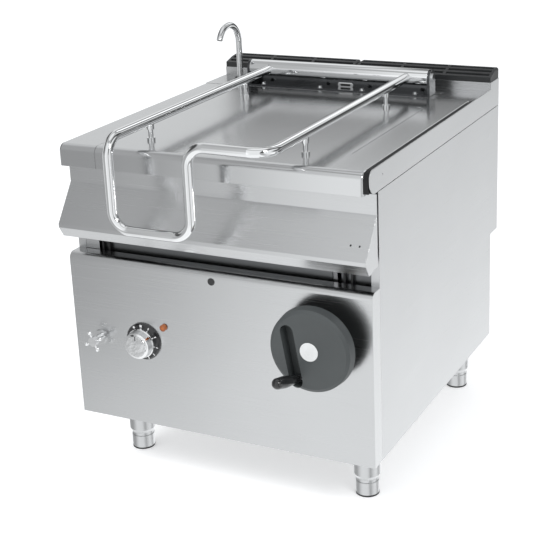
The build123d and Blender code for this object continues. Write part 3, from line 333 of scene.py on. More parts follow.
@dataclass(frozen=True)
class MouldedFinish:
    """Moulded plastic, paint or cast iron, with a fine skin and faint dust.

    Attributes:
        speckle: Fineness of the skin, with depth its height in metres.
        cloud: Share by which the dust lightens and darkens the colour.
        coat: Weight of the clear gloss over it.
        edge: Radius of the softened edges in metres, or 0 for none.
        spread: How far the dust moves the roughness either way.
    """

    name: str
    colour: Colour
    roughness: float
    speckle: float = 900.0
    depth: float = 0.00003
    cloud: float = 0.12
    coat: float = 0.0
    edge: float = 0.0006
    spread: float = 0.05

    def build(self) -> bpy.types.Material:
        """Make the material.

        Returns:
            The finished material.
        """
        sheet = NodeSheet(self.name)
        sheet.shader.inputs["Coat Weight"].default_value = self.coat
        sheet.shader.inputs["Coat Roughness"].default_value = COAT_ROUGHNESS
        clouds = sheet.noise(DUST_CLOUDS, 4.0, 0.6)
        toned = sheet.tint(clouds, 0, shade(self.colour, 1.0 - self.cloud),
                           shade(self.colour, 1.0 + self.cloud))
        sheet.join(toned, "Color", sheet.shader, "Base Color")
        ranged = sheet.spread(clouds, 0, self.roughness - self.spread, self.roughness + self.spread)
        sheet.join(ranged, 0, sheet.shader, "Roughness")
        skin = sheet.noise((self.speckle,) * 3, 2.0, 0.5)
        sheet.relief(skin, 0, self.depth, self.edge)
        return sheet.material


@dataclass(frozen=True)
class LensFinish:
    """Tinted translucent lens of the indicator lamp.

    Attributes:
        clear: Share of the light that passes through it.
        bending: Index of refraction.
        rib: Fineness of the ribs inside it, with depth their height in metres.
        edge: Radius of the softened edges in metres.
    """

    name: str
    colour: Colour
    roughness: float = 0.15
    clear: float = 0.25
    bending: float = 1.49
    rib: float = 260.0
    depth: float = 0.00005
    edge: float = 0.0005

    def build(self) -> bpy.types.Material:
        """Make the material.

        Returns:
            The finished material.
        """
        sheet = NodeSheet(self.name)
        sheet.shader.inputs["Transmission Weight"].default_value = self.clear
        sheet.shader.inputs["IOR"].default_value = self.bending
        sheet.shader.inputs["Roughness"].default_value = self.roughness
        ribs = sheet.noise((self.rib,) * 3, 2.0, 0.5)
        toned = sheet.tint(ribs, 0, shade(self.colour, 0.86), self.colour)
        sheet.join(toned, "Color", sheet.shader, "Base Color")
        sheet.relief(ribs, 0, self.depth, self.edge)
        return sheet.material


Finish = SteelFinish | MouldedFinish | LensFinish

STEEL = (0.60, 0.605, 0.61)
PANEL_STEEL = SteelFinish("panel_steel", STEEL, 0.25, spread=0.03, depth=0.000001, cloud=0.02)
SIDE_STEEL = SteelFinish("side_steel", STEEL, 0.30, spread=0.03, grain=Grain.DEEP, depth=0.0000012,
                         cloud=0.02)
LID_STEEL = SteelFinish("lid_steel", STEEL, 0.16, spread=0.02, grain=Grain.DEEP, depth=0.0000012,
                        cloud=0.03)
LEG_STEEL = SteelFinish("leg_steel", STEEL, 0.30, spread=0.03, grain=Grain.ROUND, depth=0.000002)
# Painted shade: the hinge base is the same steel as the rest, coloured far darker as painted shade and
# painted dark reflection.
HINGE_SHADED_STEEL = SteelFinish("hinge_shaded_steel", (0.10, 0.103, 0.107), 0.14, spread=0.03, depth=0.000002)
# Painted shade: the recessed front crossbar is stainless, coloured dark grey for the shade it lies in behind
# the posts.
CROSSBAR_SHADED_STEEL = SteelFinish("crossbar_shaded_steel", (0.20, 0.205, 0.21), 0.32, spread=0.03, depth=0.000002)
# Painted shade: dark steel for the line along the crease in the lid's top.
CREASE_SHADE_STEEL = SteelFinish("crease_shade_steel", (0.10, 0.10, 0.105), 0.45, spread=0.03, grain=Grain.DEEP)
SPOUT_STEEL = SteelFinish("satin_tube", (0.74, 0.745, 0.75), 0.20, spread=0.02, grain=Grain.EVEN,
                          depth=0.000001)
TAP_CHROME = SteelFinish("polished_tap", (0.93, 0.935, 0.94), 0.09, spread=0.02, grain=Grain.WAVY,
                         depth=0.0002, cloud=0.02, edge=0.0006)
CHROME = SteelFinish("polished_tube", (0.80, 0.805, 0.81), 0.05, spread=0.015, grain=Grain.EVEN,
                     depth=0.0000008, cloud=0.02, edge=0.0004)
KNOB_CHROME = SteelFinish("polished_knob", (0.82, 0.825, 0.83), 0.05, spread=0.01, grain=Grain.WAVY,
                          depth=0.0005, cloud=0.02, edge=0.0008)
LABEL_FOIL = SteelFinish("label_foil", (0.98, 0.985, 0.985), 0.40, spread=0.02, depth=0.0000005,
                         cloud=0.01)
GLOSS_BLACK = MouldedFinish("black_gloss_plastic", (0.012, 0.012, 0.013), 0.16, coat=0.5,
                            depth=0.000006, cloud=0.1, spread=0.03)
PRINT_WHITE = MouldedFinish("print_white", (0.8, 0.8, 0.8), 0.5, depth=0.00001, cloud=0.03, edge=0.0)
TRIM_BLACK = MouldedFinish("trim_black", (0.02, 0.02, 0.02), 0.45, edge=0.0)
# Near-black of the strip of painted shade in the gap beside the lid.
GAP_SHADE_BLACK = MouldedFinish("gap_shade_black", (0.004, 0.004, 0.0045), 0.6, cloud=0.1)
# Painted shade: a darker copy of the lens's amber for the shaded edge of the lamp.
AMBER_EDGE_SHADE = MouldedFinish("amber_edge_shade", (0.30, 0.09, 0.03), 0.25, coat=0.3)

SLOT_FINISHES: dict[str, Finish] = {
    "stainless": PANEL_STEEL,
    "leg_steel": LEG_STEEL,
    "well_steel": SteelFinish("well_steel", (0.45, 0.445, 0.44), 0.38, grain=Grain.EVEN, depth=0.00001),
    "chrome_tube": CHROME,
    "machined_steel": SteelFinish("machined_steel", (0.42, 0.42, 0.43), 0.3, grain=Grain.EVEN,
                                  depth=0.000008),
    "heater_steel": SteelFinish("heater_steel", (0.22, 0.20, 0.19), 0.5, grain=Grain.EVEN, depth=0.00002),
    "black_paint": MouldedFinish("black_paint", (0.018, 0.018, 0.019), 0.4, coat=0.1),
    "black_cast_iron": MouldedFinish("black_cast_iron", (0.017, 0.018, 0.019), 0.42, speckle=500.0,
                                     depth=0.00015, edge=0.0012),
    "housing_aluminium": SteelFinish("housing_aluminium", (0.5, 0.5, 0.51), 0.45, grain=Grain.EVEN,
                                     depth=0.00008),
    "bush_brass": SteelFinish("bush_brass", (0.62, 0.46, 0.22), 0.3, grain=Grain.EVEN),
    "wheel_plastic": MouldedFinish("wheel_plastic", (0.065, 0.072, 0.073), 0.42, speckle=1400.0,
                                   depth=0.00002, cloud=0.06),
    "black_gloss_plastic": GLOSS_BLACK,
    "black_plastic": MouldedFinish("black_plastic", (0.02, 0.02, 0.021), 0.5),
    "white_plastic": MouldedFinish("white_plastic", (0.78, 0.79, 0.78), 0.3, coat=0.3, depth=0.000006,
                                   cloud=0.02),
    "amber_lens": LensFinish("amber_lens", (0.68, 0.20, 0.05)),
}

NODE_FINISHES: dict[str, Finish] = {
    "lid": LID_STEEL,
    "side_panel_left": SIDE_STEEL,
    "side_panel_right": SIDE_STEEL,
    "side_rail_left": SIDE_STEEL,
    "side_rail_right": SIDE_STEEL,
    "left_worktop": LID_STEEL,
    "rear_worktop": LID_STEEL,
    # The hinge base and the front crossbar take steel darkened as painted shade.
    "hinge_base": HINGE_SHADED_STEEL,
    "front_crossbar": CROSSBAR_SHADED_STEEL,
    "thermostat_knob": KNOB_CHROME,
    "tap_handle": TAP_CHROME,
    "swivel_spout": SPOUT_STEEL,
    "hinge_plugs": SPOUT_STEEL,
    "panel_plug": GLOSS_BLACK,
}


class Paint:
    """Builds each finish once and puts it on objects."""

    def __init__(self) -> None:
        """Start with no material built."""
        self._built: dict[str, bpy.types.Material] = {}

    def of(self, finish: Finish) -> bpy.types.Material:
        """Look up the material of a finish, building it at its first use.

        Args:
            finish: The finish.

        Returns:
            Its material.
        """
        if finish.name not in self._built:
            self._built[finish.name] = finish.build()
        return self._built[finish.name]

    def coat(self, piece: bpy.types.Object, finish: Finish) -> None:
        """Replace an object's materials with one finish.

        Args:
            piece: The object to dress.
            finish: What it is made of.
        """
        piece.data.materials.clear()
        piece.data.materials.append(self.of(finish))


@dataclass
class Workshop:
    """Makes the trim's meshes and hangs them on the machine's bodies.

    Attributes:
        paint: Builder of the finishes.
        made: Names of the pieces made so far.
    """

    paint: Paint
    made: list[str] = field(default_factory=list)

    def _finish(self, mesh: bmesh.types.BMesh, name: str, body: str, finish: Finish,
                smooth: bool) -> bpy.types.Object:
        """Turn a mesh into a dressed piece that rides a body.

        Args:
            mesh: The finished mesh.
            name: The piece's name.
            body: The body it moves with.
            finish: Its material.
            smooth: Whether its faces are shaded smooth.

        Returns:
            The new object.
        """
        bmesh.ops.recalc_face_normals(mesh, faces=mesh.faces)
        data = bpy.data.meshes.new(name)
        mesh.to_mesh(data)
        mesh.free()
        piece = bpy.data.objects.new(name, data)
        bpy.context.scene.collection.objects.link(piece)
        if smooth:
            data.shade_smooth()
            data.set_sharp_from_angle(angle=TRIM_SHARP_ANGLE)
        self.paint.coat(piece, finish)
        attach(piece, body)
        self.made.append(name)
        return piece

    def lathe(self, name: str, body: str, finish: Finish, centre: Point, axis: Point,
              profile: Outline, steps: int = 48) -> bpy.types.Object:
        """Turned piece.

        Args:
            name: The piece's name.
            body: The body it moves with.
            finish: Its material.
            centre: Point on its axis where the profile starts.
            axis: Direction of the axis.
            profile: Distances along the axis and radii, from one end to the other.
            steps: Number of facets round it.

        Returns:
            The new object.
        """
        mesh = bmesh.new()
        turn = Vector(axis).normalized().to_track_quat("Z", "Y").to_matrix().to_4x4()
        place = Matrix.Translation(Vector(centre)) @ turn
        rings: list[list[bmesh.types.BMVert]] = []
        for along, radius in profile:
            circle = ring_points(steps, radius) if radius > 0 else [(0.0, 0.0)]
            rings.append([mesh.verts.new(place @ Vector((a, b, along))) for a, b in circle])
        for near, far in zip(rings, rings[1:]):
            for i in range(steps):
                j = (i + 1) % steps
                around = [near[i % len(near)], near[j % len(near)], far[j % len(far)], far[i % len(far)]]
                unique = list(dict.fromkeys(around))
                if len(unique) >= 3:
                    mesh.faces.new(unique)
        return self._finish(mesh, name, body, finish, True)

    def plate(self, name: str, body: str, finish: Finish, origin: Point, across: Point,
              up: Point, outline: Outline, thickness: float, round_off: float = 0.0) -> bpy.types.Object:
        """Flat piece cut to an outline.

        Args:
            name: The piece's name.
            body: The body it moves with.
            finish: Its material.
            origin: Where the outline's zero lies, on the face it is fixed to.
            across: Direction of the outline's first axis.
            up: Direction of its second axis.
            outline: Corners of the outline.
            thickness: How far it stands out, along across × up.
            round_off: Width of the softened front edge.

        Returns:
            The new object.
        """
        mesh = bmesh.new()
        first, second = Vector(across).normalized(), Vector(up).normalized()
        out = first.cross(second)
        foot = Vector(origin)
        low = [mesh.verts.new(foot + first * a + second * b) for a, b in outline]
        base = mesh.faces.new(low)
        grown = bmesh.ops.extrude_face_region(mesh, geom=[base])
        lifted = [v for v in grown["geom"] if isinstance(v, bmesh.types.BMVert)]
        bmesh.ops.translate(mesh, verts=lifted, vec=out * thickness)
        if round_off > 0:
            rim = [e for e in mesh.edges if e.verts[0] in lifted and e.verts[1] in lifted]
            bmesh.ops.bevel(mesh, geom=rim, offset=round_off, segments=2, affect="EDGES", profile=0.5)
        return self._finish(mesh, name, body, finish, False)


def ring_points(count: int, radius: float) -> list[Pair]:
    """Return the corners of a regular polygon round zero."""
    return [(radius * math.cos(2 * math.pi * i / count), radius * math.sin(2 * math.pi * i / count))
            for i in range(count)]


def block_points(left: float, low: float, right: float, high: float) -> list[Pair]:
    """Return the corners of an upright rectangle."""
    return [(left, low), (right, low), (right, high), (left, high)]


def slot_points(length: float, radius: float, steps: int = 10) -> list[Pair]:
    """Outline of a slot with round ends.

    Args:
        length: Its length over the ends.
        radius: Radius of the ends.
        steps: Number of edges of each end.

    Returns:
        The outline's corners.
    """
    half = length / 2 - radius
    right = [(half + radius * math.cos(a), radius * math.sin(a))
             for a in (math.pi * (i / steps - 0.5) for i in range(steps + 1))]
    left = [(-x, -y) for x, y in right]
    return right + left


def middle(low: Vector, high: Vector) -> Vector:
    """Return the middle of a box from its two corners."""
    return (low + high) / 2


@dataclass
class ThermostatTrim:
    """Printed marks on the thermostat's skirt and the pointer on its knob.

    Attributes:
        dot_angle: Where the round mark stands, in degrees from the right.
        square_angle: The same for the square mark, and tick_angles for the ticks.
        mark_radius: Distance of the marks from the knob's axis.
        mark_lift: How far they start before the skirt's face, with mark_thickness.
        dot_radius: Radius of the round mark.
        square_half: Half the square mark's side and half a tick's length.
        tick_half: Half a tick's width.
        pointer_height: Height of the pointer above the knob's axis.
        pointer_half: Half its width, with pointer_ends and pointer_thickness.
    """

    dot_angle: float = 121.0
    square_angle: float = 92.0
    tick_angles: tuple[float, ...] = (62.0, 26.0, -12.0, -42.0, -68.0)
    mark_radius: float = 41.5 * MM
    mark_lift: float = 0.02 * MM
    mark_thickness: float = 0.15 * MM
    dot_radius: float = 3.0 * MM
    square_half: float = 3.2 * MM
    tick_half: float = 1.3 * MM
    pointer_height: float = 21.0 * MM
    pointer_half: float = 1.1 * MM
    pointer_ends: Pair = (-6.0 * MM, 5.0 * MM)
    pointer_thickness: float = 0.05 * MM

    def build(self, shop: Workshop) -> None:
        """Make the marks and the pointer.

        Args:
            shop: Where the pieces are made.
        """
        low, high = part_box("thermostat_skirt")
        centre = middle(low, high)
        centre.y = low.y - self.mark_lift
        half = self.square_half
        dot = ring_points(20, self.dot_radius)
        square = block_points(-half, -half, half, half)
        tick = block_points(-half, -self.tick_half, half, self.tick_half)
        marks = [(self.dot_angle, dot), (self.square_angle, square)]
        marks += [(angle, tick) for angle in self.tick_angles]
        for index, (angle, outline) in enumerate(marks):
            turn = math.radians(angle)
            out = Vector((math.cos(turn), 0.0, math.sin(turn)))
            along = Vector((-math.sin(turn), 0.0, math.cos(turn)))
            spot = centre + out * self.mark_radius
            shop.plate(f"thermostat_mark_{index + 1}", "frame", PRINT_WHITE, tuple(spot),
                       tuple(out), tuple(along), outline, self.mark_thickness)
        knob_low, knob_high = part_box("thermostat_knob")
        axis = middle(knob_low, knob_high)
        bottom, top = self.pointer_ends
        shop.plate("thermostat_pointer", "thermostat_knob", TRIM_BLACK,
                   (axis.x, knob_low.y + self.pointer_thickness, axis.z + self.pointer_height), RIGHT, UPWARD,
                   block_points(-self.pointer_half, bottom, self.pointer_half, top), self.pointer_thickness)


@dataclass
class LampTrim:
    """Darker rim of the indicator lamp's lens: a darker amber than the lens, as painted shade at the lens's
    edge.

    Attributes:
        inner_share: Radius of the rim's hole as a share of the lens's radius.
        face_share: Radius of the rim's flat face.
        outer_share: Radius of the rim where it meets the panel.
        proud: How far the rim stands before the lens.
        chamfer: Depth of its bevel behind the lens's face.
        root: How deep the rim starts behind the lens's face.
    """

    inner_share: float = 0.6
    face_share: float = 0.92
    outer_share: float = 1.04
    proud: float = 0.4 * MM
    chamfer: float = 0.2 * MM
    root: float = 1.0 * MM

    def build(self, shop: Workshop) -> None:
        """Make the rim.

        Args:
            shop: Where the pieces are made.
        """
        low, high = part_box("indicator_lamp")
        lens = middle(low, high)
        radius = min(high.x - low.x, high.z - low.z) / 2
        inner, face, outer = (radius * share
                              for share in (self.inner_share, self.face_share, self.outer_share))
        # The rim's darker amber is painted shade at the lens's edge.
        shop.lathe("lamp_rim_shade", "frame", AMBER_EDGE_SHADE, (lens.x, low.y, lens.z), FORWARD,
                   [(-self.root, inner), (self.proud, inner), (self.proud, face), (-self.chamfer, outer),
                    (-self.root, outer)])


@dataclass
class HingeTrim:
    """Bolts, latch plate, end covers and end screws of the lid's hinge.

    Attributes:
        bolt_x: Places of the bolts along the hinge.
        bolt_setback: Distance of the bolts behind the base's front edge.
        sheet: Thickness of the base's sheet.
        bolt_radius: Radius of a bolt's head.
        washer_share: Radius of its washer as a share of the head's.
        bolt_levels: Heights of the washer, of the head's bevel and of its top.
        bolt_top_radius: Radius of the head's flat top.
        latch_place: Place along the hinge and height above the base of the latch plate.
        latch_size: Length and end radius of the latch plate, and latch_slot those of its slot.
        latch_thickness: Its thickness, with latch_round, and slot_shade_thickness that of the black plate of
            painted shade in its slot.
        cover_inset: Distance of an end cover's edge from the bracket's.
        cover_thickness: Its thickness, with cover_round.
        gasket_radius: Radius of the dark disc on it, from one to the other of gasket_levels.
        screw_profile: Distances from the cover's face and radii of an end screw.
    """

    bolt_x: tuple[float, ...] = (-225.0 * MM, -52.0 * MM, 72.0 * MM, 225.0 * MM)
    bolt_setback: float = 12.0 * MM
    sheet: float = 4.0 * MM
    bolt_radius: float = 5.5 * MM
    washer_share: float = 1.5
    bolt_levels: tuple[float, float, float] = (1.2 * MM, 4.4 * MM, 5.2 * MM)
    bolt_top_radius: float = 4.6 * MM
    latch_place: Pair = (12.0 * MM, 9.0 * MM)
    latch_size: Pair = (46.0 * MM, 7.0 * MM)
    latch_slot: Pair = (30.0 * MM, 3.0 * MM)
    latch_thickness: float = 1.6 * MM
    latch_round: float = 0.4 * MM
    slot_shade_thickness: float = 0.1 * MM
    cover_inset: float = 1.5 * MM
    cover_thickness: float = 0.8 * MM
    cover_round: float = 0.3 * MM
    gasket_radius: float = 9.5 * MM
    gasket_levels: Pair = (-0.2 * MM, 0.4 * MM)
    screw_profile: Outline = ((0.2 * MM, 0.0), (0.2 * MM, 5.4 * MM), (1.6 * MM, 5.0 * MM),
                              (2.1 * MM, 3.6 * MM), (2.1 * MM, 0.0))

    def _bolts(self, shop: Workshop, low: Vector) -> None:
        """Make the bolts on the base's floor.

        Args:
            shop: Where the pieces are made.
            low: Lowest corner of the base.
        """
        washer, bevel, top = self.bolt_levels
        wide = self.bolt_radius * self.washer_share
        profile = [(0.0, 0.0), (0.0, wide), (washer, wide), (washer, self.bolt_radius),
                   (bevel, self.bolt_radius), (top, self.bolt_top_radius), (top, 0.0)]
        for index, x in enumerate(self.bolt_x):
            shop.lathe(f"hinge_bolt_{index + 1}", "pan", CHROME,
                       (x, low.y + self.bolt_setback, low.z + self.sheet), UPWARD, profile, 24)

    def _latch(self, shop: Workshop, low: Vector, high: Vector) -> None:
        """Make the latch plate on the base's web, with a black plate of painted shade in its slot.

        Args:
            shop: Where the pieces are made.
            low: Lowest corner of the base.
            high: Its highest corner.
        """
        x, height = self.latch_place
        web_y = high.y - self.sheet
        shop.plate("hinge_latch_plate", "pan", CHROME, (x, web_y, low.z + height), RIGHT,
                   UPWARD, slot_points(*self.latch_size), self.latch_thickness, self.latch_round)
        # The slot is a thin black plate on the latch plate's face: painted shade where the slot is open.
        shop.plate("hinge_latch_slot_shade", "pan", TRIM_BLACK,
                   (x, web_y - self.latch_thickness, low.z + height), RIGHT, UPWARD,
                   slot_points(*self.latch_slot), self.slot_shade_thickness)

    def _ends(self, shop: Workshop, low: Vector, high: Vector) -> None:
        """Make the covers and screws on the brackets at both ends.

        Args:
            shop: Where the pieces are made.
            low: Lowest corner of the base.
            high: Its highest corner.
        """
        bracket_radius = (high.y - low.y) / 2
        centre_y, centre_z = (low.y + high.y) / 2, high.z - bracket_radius
        radius = bracket_radius - self.cover_inset
        foot = low.z + self.cover_inset - centre_z
        steps = 24
        arch = ring_points(2 * steps, radius)[:steps + 1]
        cover = [(-radius, foot), (radius, foot), *arch]
        first, last = self.gasket_levels
        gasket = [(first, 0.0), (first, self.gasket_radius), (last, self.gasket_radius), (last, 0.0)]
        for side, x, name in ((-1, low.x, "left"), (1, high.x, "right")):
            face = (x + side * self.cover_thickness, centre_y, centre_z)
            outward = (side, 0, 0)
            shop.plate(f"hinge_end_cover_{name}", "pan", SPOUT_STEEL, (x, centre_y, centre_z),
                       (0, side, 0), UPWARD, cover, self.cover_thickness, self.cover_round)
            shop.lathe(f"hinge_end_gasket_{name}", "pan", TRIM_BLACK, face, outward, gasket)
            shop.lathe(f"hinge_end_screw_{name}", "pan", CHROME, face, outward,
                       self.screw_profile)

    def build(self, shop: Workshop) -> None:
        """Make the fasteners and the covers.

        Args:
            shop: Where the pieces are made.
        """
        low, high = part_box("hinge_base")
        self._bolts(shop, low)
        self._latch(shop, low, high)
        self._ends(shop, low, high)


@dataclass
class PlateTrim:
    """Bare label on the rating plate's holder.

    Attributes:
        inset: Distance of the label from the holder's edges.
        height: Height of the label.
        border: Width of the dark border round it.
        lift: How far the label lies before the border.
        thickness: Thickness of each.
    """

    inset: float = 3.0 * MM
    height: float = 15.0 * MM
    border: float = 1.0 * MM
    lift: float = 0.12 * MM
    thickness: float = 0.1 * MM

    def build(self, shop: Workshop) -> None:
        """Make the border and the bare label.

        Args:
            shop: Where the pieces are made.
        """
        low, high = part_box("rating_plate")
        wide = high.x - low.x - 2 * self.inset
        left, top = low.x + self.inset, high.z - self.inset
        around = self.border
        shop.plate("label_surround", "frame", TRIM_BLACK, (left, low.y, top), RIGHT, UPWARD,
                   block_points(-around, -self.height - around, wide + around, around), self.thickness)
        shop.plate("bare_label", "frame", LABEL_FOIL, (left, low.y - self.lift, top), RIGHT,
                   UPWARD, block_points(0.0, -self.height, wide, 0.0), self.thickness)


@dataclass
class FootTrim:
    """Dark plastic ring on which each foot stands.

    Attributes:
        radius: Radius of a foot.
        proud: How far the ring stands out from the foot.
        height: Height of the ring's upper edge.
        bevel_height: Height of its bevel, which starts bevel_inset inside the foot's radius.
        clearance: Height of its underside above the floor.
        inner_inset: Distance of its hole inside the foot's radius, and upper_inset that at its top.
    """

    radius: float = 29.0 * MM
    proud: float = 0.3 * MM
    height: float = 5.5 * MM
    bevel_height: float = 1.4 * MM
    bevel_inset: float = 1.2 * MM
    clearance: float = 0.3 * MM
    inner_inset: float = 4.0 * MM
    upper_inset: float = 3.0 * MM

    def build(self, shop: Workshop) -> None:
        """Make the rings.

        Args:
            shop: Where the pieces are made.
        """
        low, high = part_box("feet")
        outer = self.radius + self.proud
        profile = [(self.clearance, self.radius - self.inner_inset),
                   (self.clearance, self.radius - self.bevel_inset), (self.bevel_height, outer),
                   (self.height, outer), (self.height, self.radius - self.upper_inset)]
        for column, x in enumerate((low.x + self.radius, high.x - self.radius)):
            for row, y in enumerate((low.y + self.radius, high.y - self.radius)):
                shop.lathe(f"foot_ring_{2 * column + row + 1}", "frame", TRIM_BLACK,
                           (x, y, low.z), UPWARD, profile)


@dataclass
class LidTrim:
    """Black strip of painted shade in the gap along the lid's right edge and round its nose, and a dark line
    of painted shade along the crease in its top.

    Attributes:
        gap_shade_inset: How far the strip of painted shade starts inside the lid's edge.
        gap_shade_width: Width of the strip.
        gap_shade_outline: Corners of the strip, from the lid's front and its lower edge.
        crease_x: Place of the crease, with crease_ends behind the lid's front.
        crease_half: Half its width, with crease_thickness.
    """

    gap_shade_inset: float = 0.6 * MM
    gap_shade_width: float = 12.0 * MM
    gap_shade_outline: Outline = ((3 * MM, 6 * MM), (3 * MM, 35 * MM), (7 * MM, 45 * MM), (14 * MM, 52 * MM),
                             (24 * MM, 55 * MM), (686 * MM, 55 * MM), (686 * MM, 41 * MM),
                             (24 * MM, 41 * MM), (17 * MM, 36 * MM), (15 * MM, 6 * MM))
    crease_x: float = 300.0 * MM
    crease_ends: Pair = (136.0 * MM, 590.0 * MM)
    crease_half: float = 0.6 * MM
    crease_thickness: float = 0.05 * MM

    def build(self, shop: Workshop) -> None:
        """Make the seal and the crease.

        Args:
            shop: Where the pieces are made.
        """
        low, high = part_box("lid")
        first, last = self.crease_ends
        # Thin black strip along the lid's right edge and nose: painted shade of the gap there.
        shop.plate("lid_gap_shade", "lid", GAP_SHADE_BLACK, (high.x - self.gap_shade_inset, low.y, low.z),
                   REARWARD, UPWARD, self.gap_shade_outline, self.gap_shade_width)
        # Thin dark line on the lid's top: painted shade along its crease.
        shop.plate("lid_crease_shade", "lid", CREASE_SHADE_STEEL, (self.crease_x, low.y + first, high.z),
                   RIGHT, REARWARD, block_points(-self.crease_half, 0.0, self.crease_half, last - first),
                   self.crease_thickness)


@dataclass
class Studio:
    """Pale floor, plain light and the surroundings that the steel mirrors.

    The surroundings are a dome whose tone depends on the direction, given by the unit vector (x, y, z)
    from its middle: x to the right, y to the rear, z up. A name that ends in _x, _y or _z is the span
    of that part over which one tone passes into the next. Tones are those before and after the span.

    Attributes:
        floor_half: Half the floor's side.
        floor_colour: Its colour, with floor_roughness and floor_sheen.
        camera_glow: Light it adds for the camera and for mirrors.
        fill: Strength of the plain light from all sides.
        lamp_aim: Point that the lamps light.
        dome_place: Middle of the dome, with dome_radius and dome_colour.
        front_y: From the front of the room to what is behind.
        left_x: From the front's left to its middle, with left_tones.
        straight_x: From there to straight ahead, of straight_tone.
        ceiling_x: From the ceiling's left to its middle, with ceiling_tones.
        ceiling_z: From the front to the ceiling.
        near_floor_z: From the floor before the machine to the front.
        near_floor_x: From that floor's left to its middle, with near_floor_tones.
        wall_z: Up the wall behind, with wall_tones.
        window_x: From the window behind on the left, of window_tone, to the wall.
        side_floor_z: Up the floor beside the machine, with side_floor_tones.
        behind_z: From that floor to the wall.
        side_bands: Bands to the left and right, of low_shade_tone below and dark_tone above shade_z.
        rear_bands: Bands high up behind, each with its tone, beyond rear_y and rear_z.
        crown_band: Band round the top, of crown_tone.
        zenith_z: From there to white.
    """

    floor_half: float = 9.0
    floor_colour: Rgba = (0.93, 0.93, 0.93, 1.0)
    floor_roughness: float = 0.9
    floor_sheen: float = 0.1
    camera_glow: float = 0.38
    fill: float = 0.75
    lamp_aim: Point = (0.0, 0.0, 0.5)
    dome_place: Point = (0.0, -0.1, 0.7)
    dome_radius: float = 8.0
    dome_colour: Rgba = (0.985, 1.0, 1.01, 1.0)
    front_y: Pair = (-0.25, 0.25)
    left_x: Pair = (-0.56, -0.34)
    left_tones: Pair = (0.46, 1.24)
    straight_x: Pair = (-0.30, -0.12)
    straight_tone: float = 0.98
    ceiling_x: Pair = (-0.46, -0.32)
    ceiling_tones: Pair = (0.56, 1.0)
    ceiling_z: Pair = (0.05, 0.4)
    near_floor_z: Pair = (-0.47, -0.39)
    near_floor_x: Pair = (-0.56, -0.38)
    near_floor_tones: Pair = (0.92, 1.14)
    wall_z: Pair = (0.20, 0.36)
    wall_tones: Pair = (0.08, 0.92)
    window_x: Pair = (-0.495, -0.467)
    window_tone: float = 0.82
    side_floor_z: Pair = (-0.50, -0.22)
    side_floor_tones: Pair = (1.37, 1.04)
    behind_z: Pair = (-0.2, 0.0)
    dark_tone: float = 0.08
    low_shade_tone: float = 0.50
    shade_z: Pair = (0.0, 0.2)
    side_bands: tuple[Band, ...] = ((-0.95, -0.86, -0.74, -0.64), (0.50, 0.58, 0.72, 0.80))
    rear_bands: tuple[tuple[Band, float], ...] = (((-0.36, -0.28, -0.20, -0.12), 0.08),
                                                  ((-0.10, -0.02, 0.10, 0.18), 1.5),
                                                  ((0.20, 0.28, 0.36, 0.42), 0.08))
    rear_z: Pair = (0.40, 0.46)
    rear_y: Pair = (0.3, 0.5)
    crown_band: Band = (0.80, 0.84, 0.90, 0.94)
    crown_tone: float = 0.5
    zenith_z: Pair = (0.92, 0.96)

    def _floor(self) -> None:
        """Lay the pale floor, which camera rays see as white where nothing shades it."""
        bpy.ops.mesh.primitive_plane_add(size=2 * self.floor_half)
        floor = bpy.context.active_object
        floor.name = "studio_floor"
        floor.visible_glossy = False
        sheet = NodeSheet("studio_floor")
        sheet.shader.inputs["Roughness"].default_value = self.floor_roughness
        sheet.shader.inputs["Specular IOR Level"].default_value = self.floor_sheen
        sheet.shader.inputs["Base Color"].default_value = self.floor_colour
        glow = sheet.add("ShaderNodeEmission", Color=WHITE, Strength=self.camera_glow)
        both = sheet.add("ShaderNodeAddShader")
        seen = sheet.either("Is Camera Ray", "Is Glossy Ray", "Is Transmission Ray")
        mix = sheet.add("ShaderNodeMixShader")
        sheet.join(seen[0], seen[1], mix, 0)
        sheet.join(sheet.shader, "BSDF", both, 0)
        sheet.join(glow, "Emission", both, 1)
        sheet.join(sheet.shader, "BSDF", mix, 1)
        sheet.join(both, 0, mix, 2)
        sheet.join(mix, 0, sheet.output, "Surface")
        floor.data.materials.append(sheet.material)

    def _tone(self, tree: NodeTree) -> Link:
        """Tone of the dome in each direction, as the steel mirrors it.

        Args:
            tree: The dome's node tree.

        Returns:
            The tone's node and output.
        """
        place = tree.add("ShaderNodeTexCoord")
        unit = tree.add("ShaderNodeVectorMath")
        unit.operation = "NORMALIZE"
        tree.join(place, "Object", unit, 0)
        parts = tree.add("ShaderNodeSeparateXYZ")
        tree.join(unit, 0, parts, 0)
        x, y, z = ((parts, name) for name in "XYZ")
        open_front = tree.ramp(x, self.left_x, *self.left_tones)
        open_front = tree.ramp(x, self.straight_x, open_front, self.straight_tone)
        ceiling = tree.ramp(x, self.ceiling_x, *self.ceiling_tones)
        upper = tree.ramp(z, self.ceiling_z, open_front, ceiling)
        near_floor = tree.ramp(x, self.near_floor_x, *self.near_floor_tones)
        front = tree.ramp(z, self.near_floor_z, near_floor, upper)
        wall = tree.ramp(z, self.wall_z, *self.wall_tones)
        back = tree.ramp(x, self.window_x, self.window_tone, wall)
        side_floor = tree.ramp(z, self.side_floor_z, *self.side_floor_tones)
        behind = tree.ramp(z, self.behind_z, side_floor, back)
        bands = tree.ramp(y, self.front_y, front, behind)
        shade_tone = tree.ramp(z, self.shade_z, self.low_shade_tone, self.dark_tone)
        for edges in self.side_bands:
            bands = tree.band(x, edges, bands, shade_tone)
        rear_top = bands
        for edges, tone in self.rear_bands:
            rear_top = tree.band(x, edges, rear_top, tone)
        high_rear = tree.ramp(z, self.rear_z, bands, rear_top)
        upper_half = tree.ramp(y, self.rear_y, bands, high_rear)
        crown = tree.band(z, self.crown_band, upper_half, self.crown_tone)
        return tree.ramp(z, self.zenith_z, crown, 1.0)

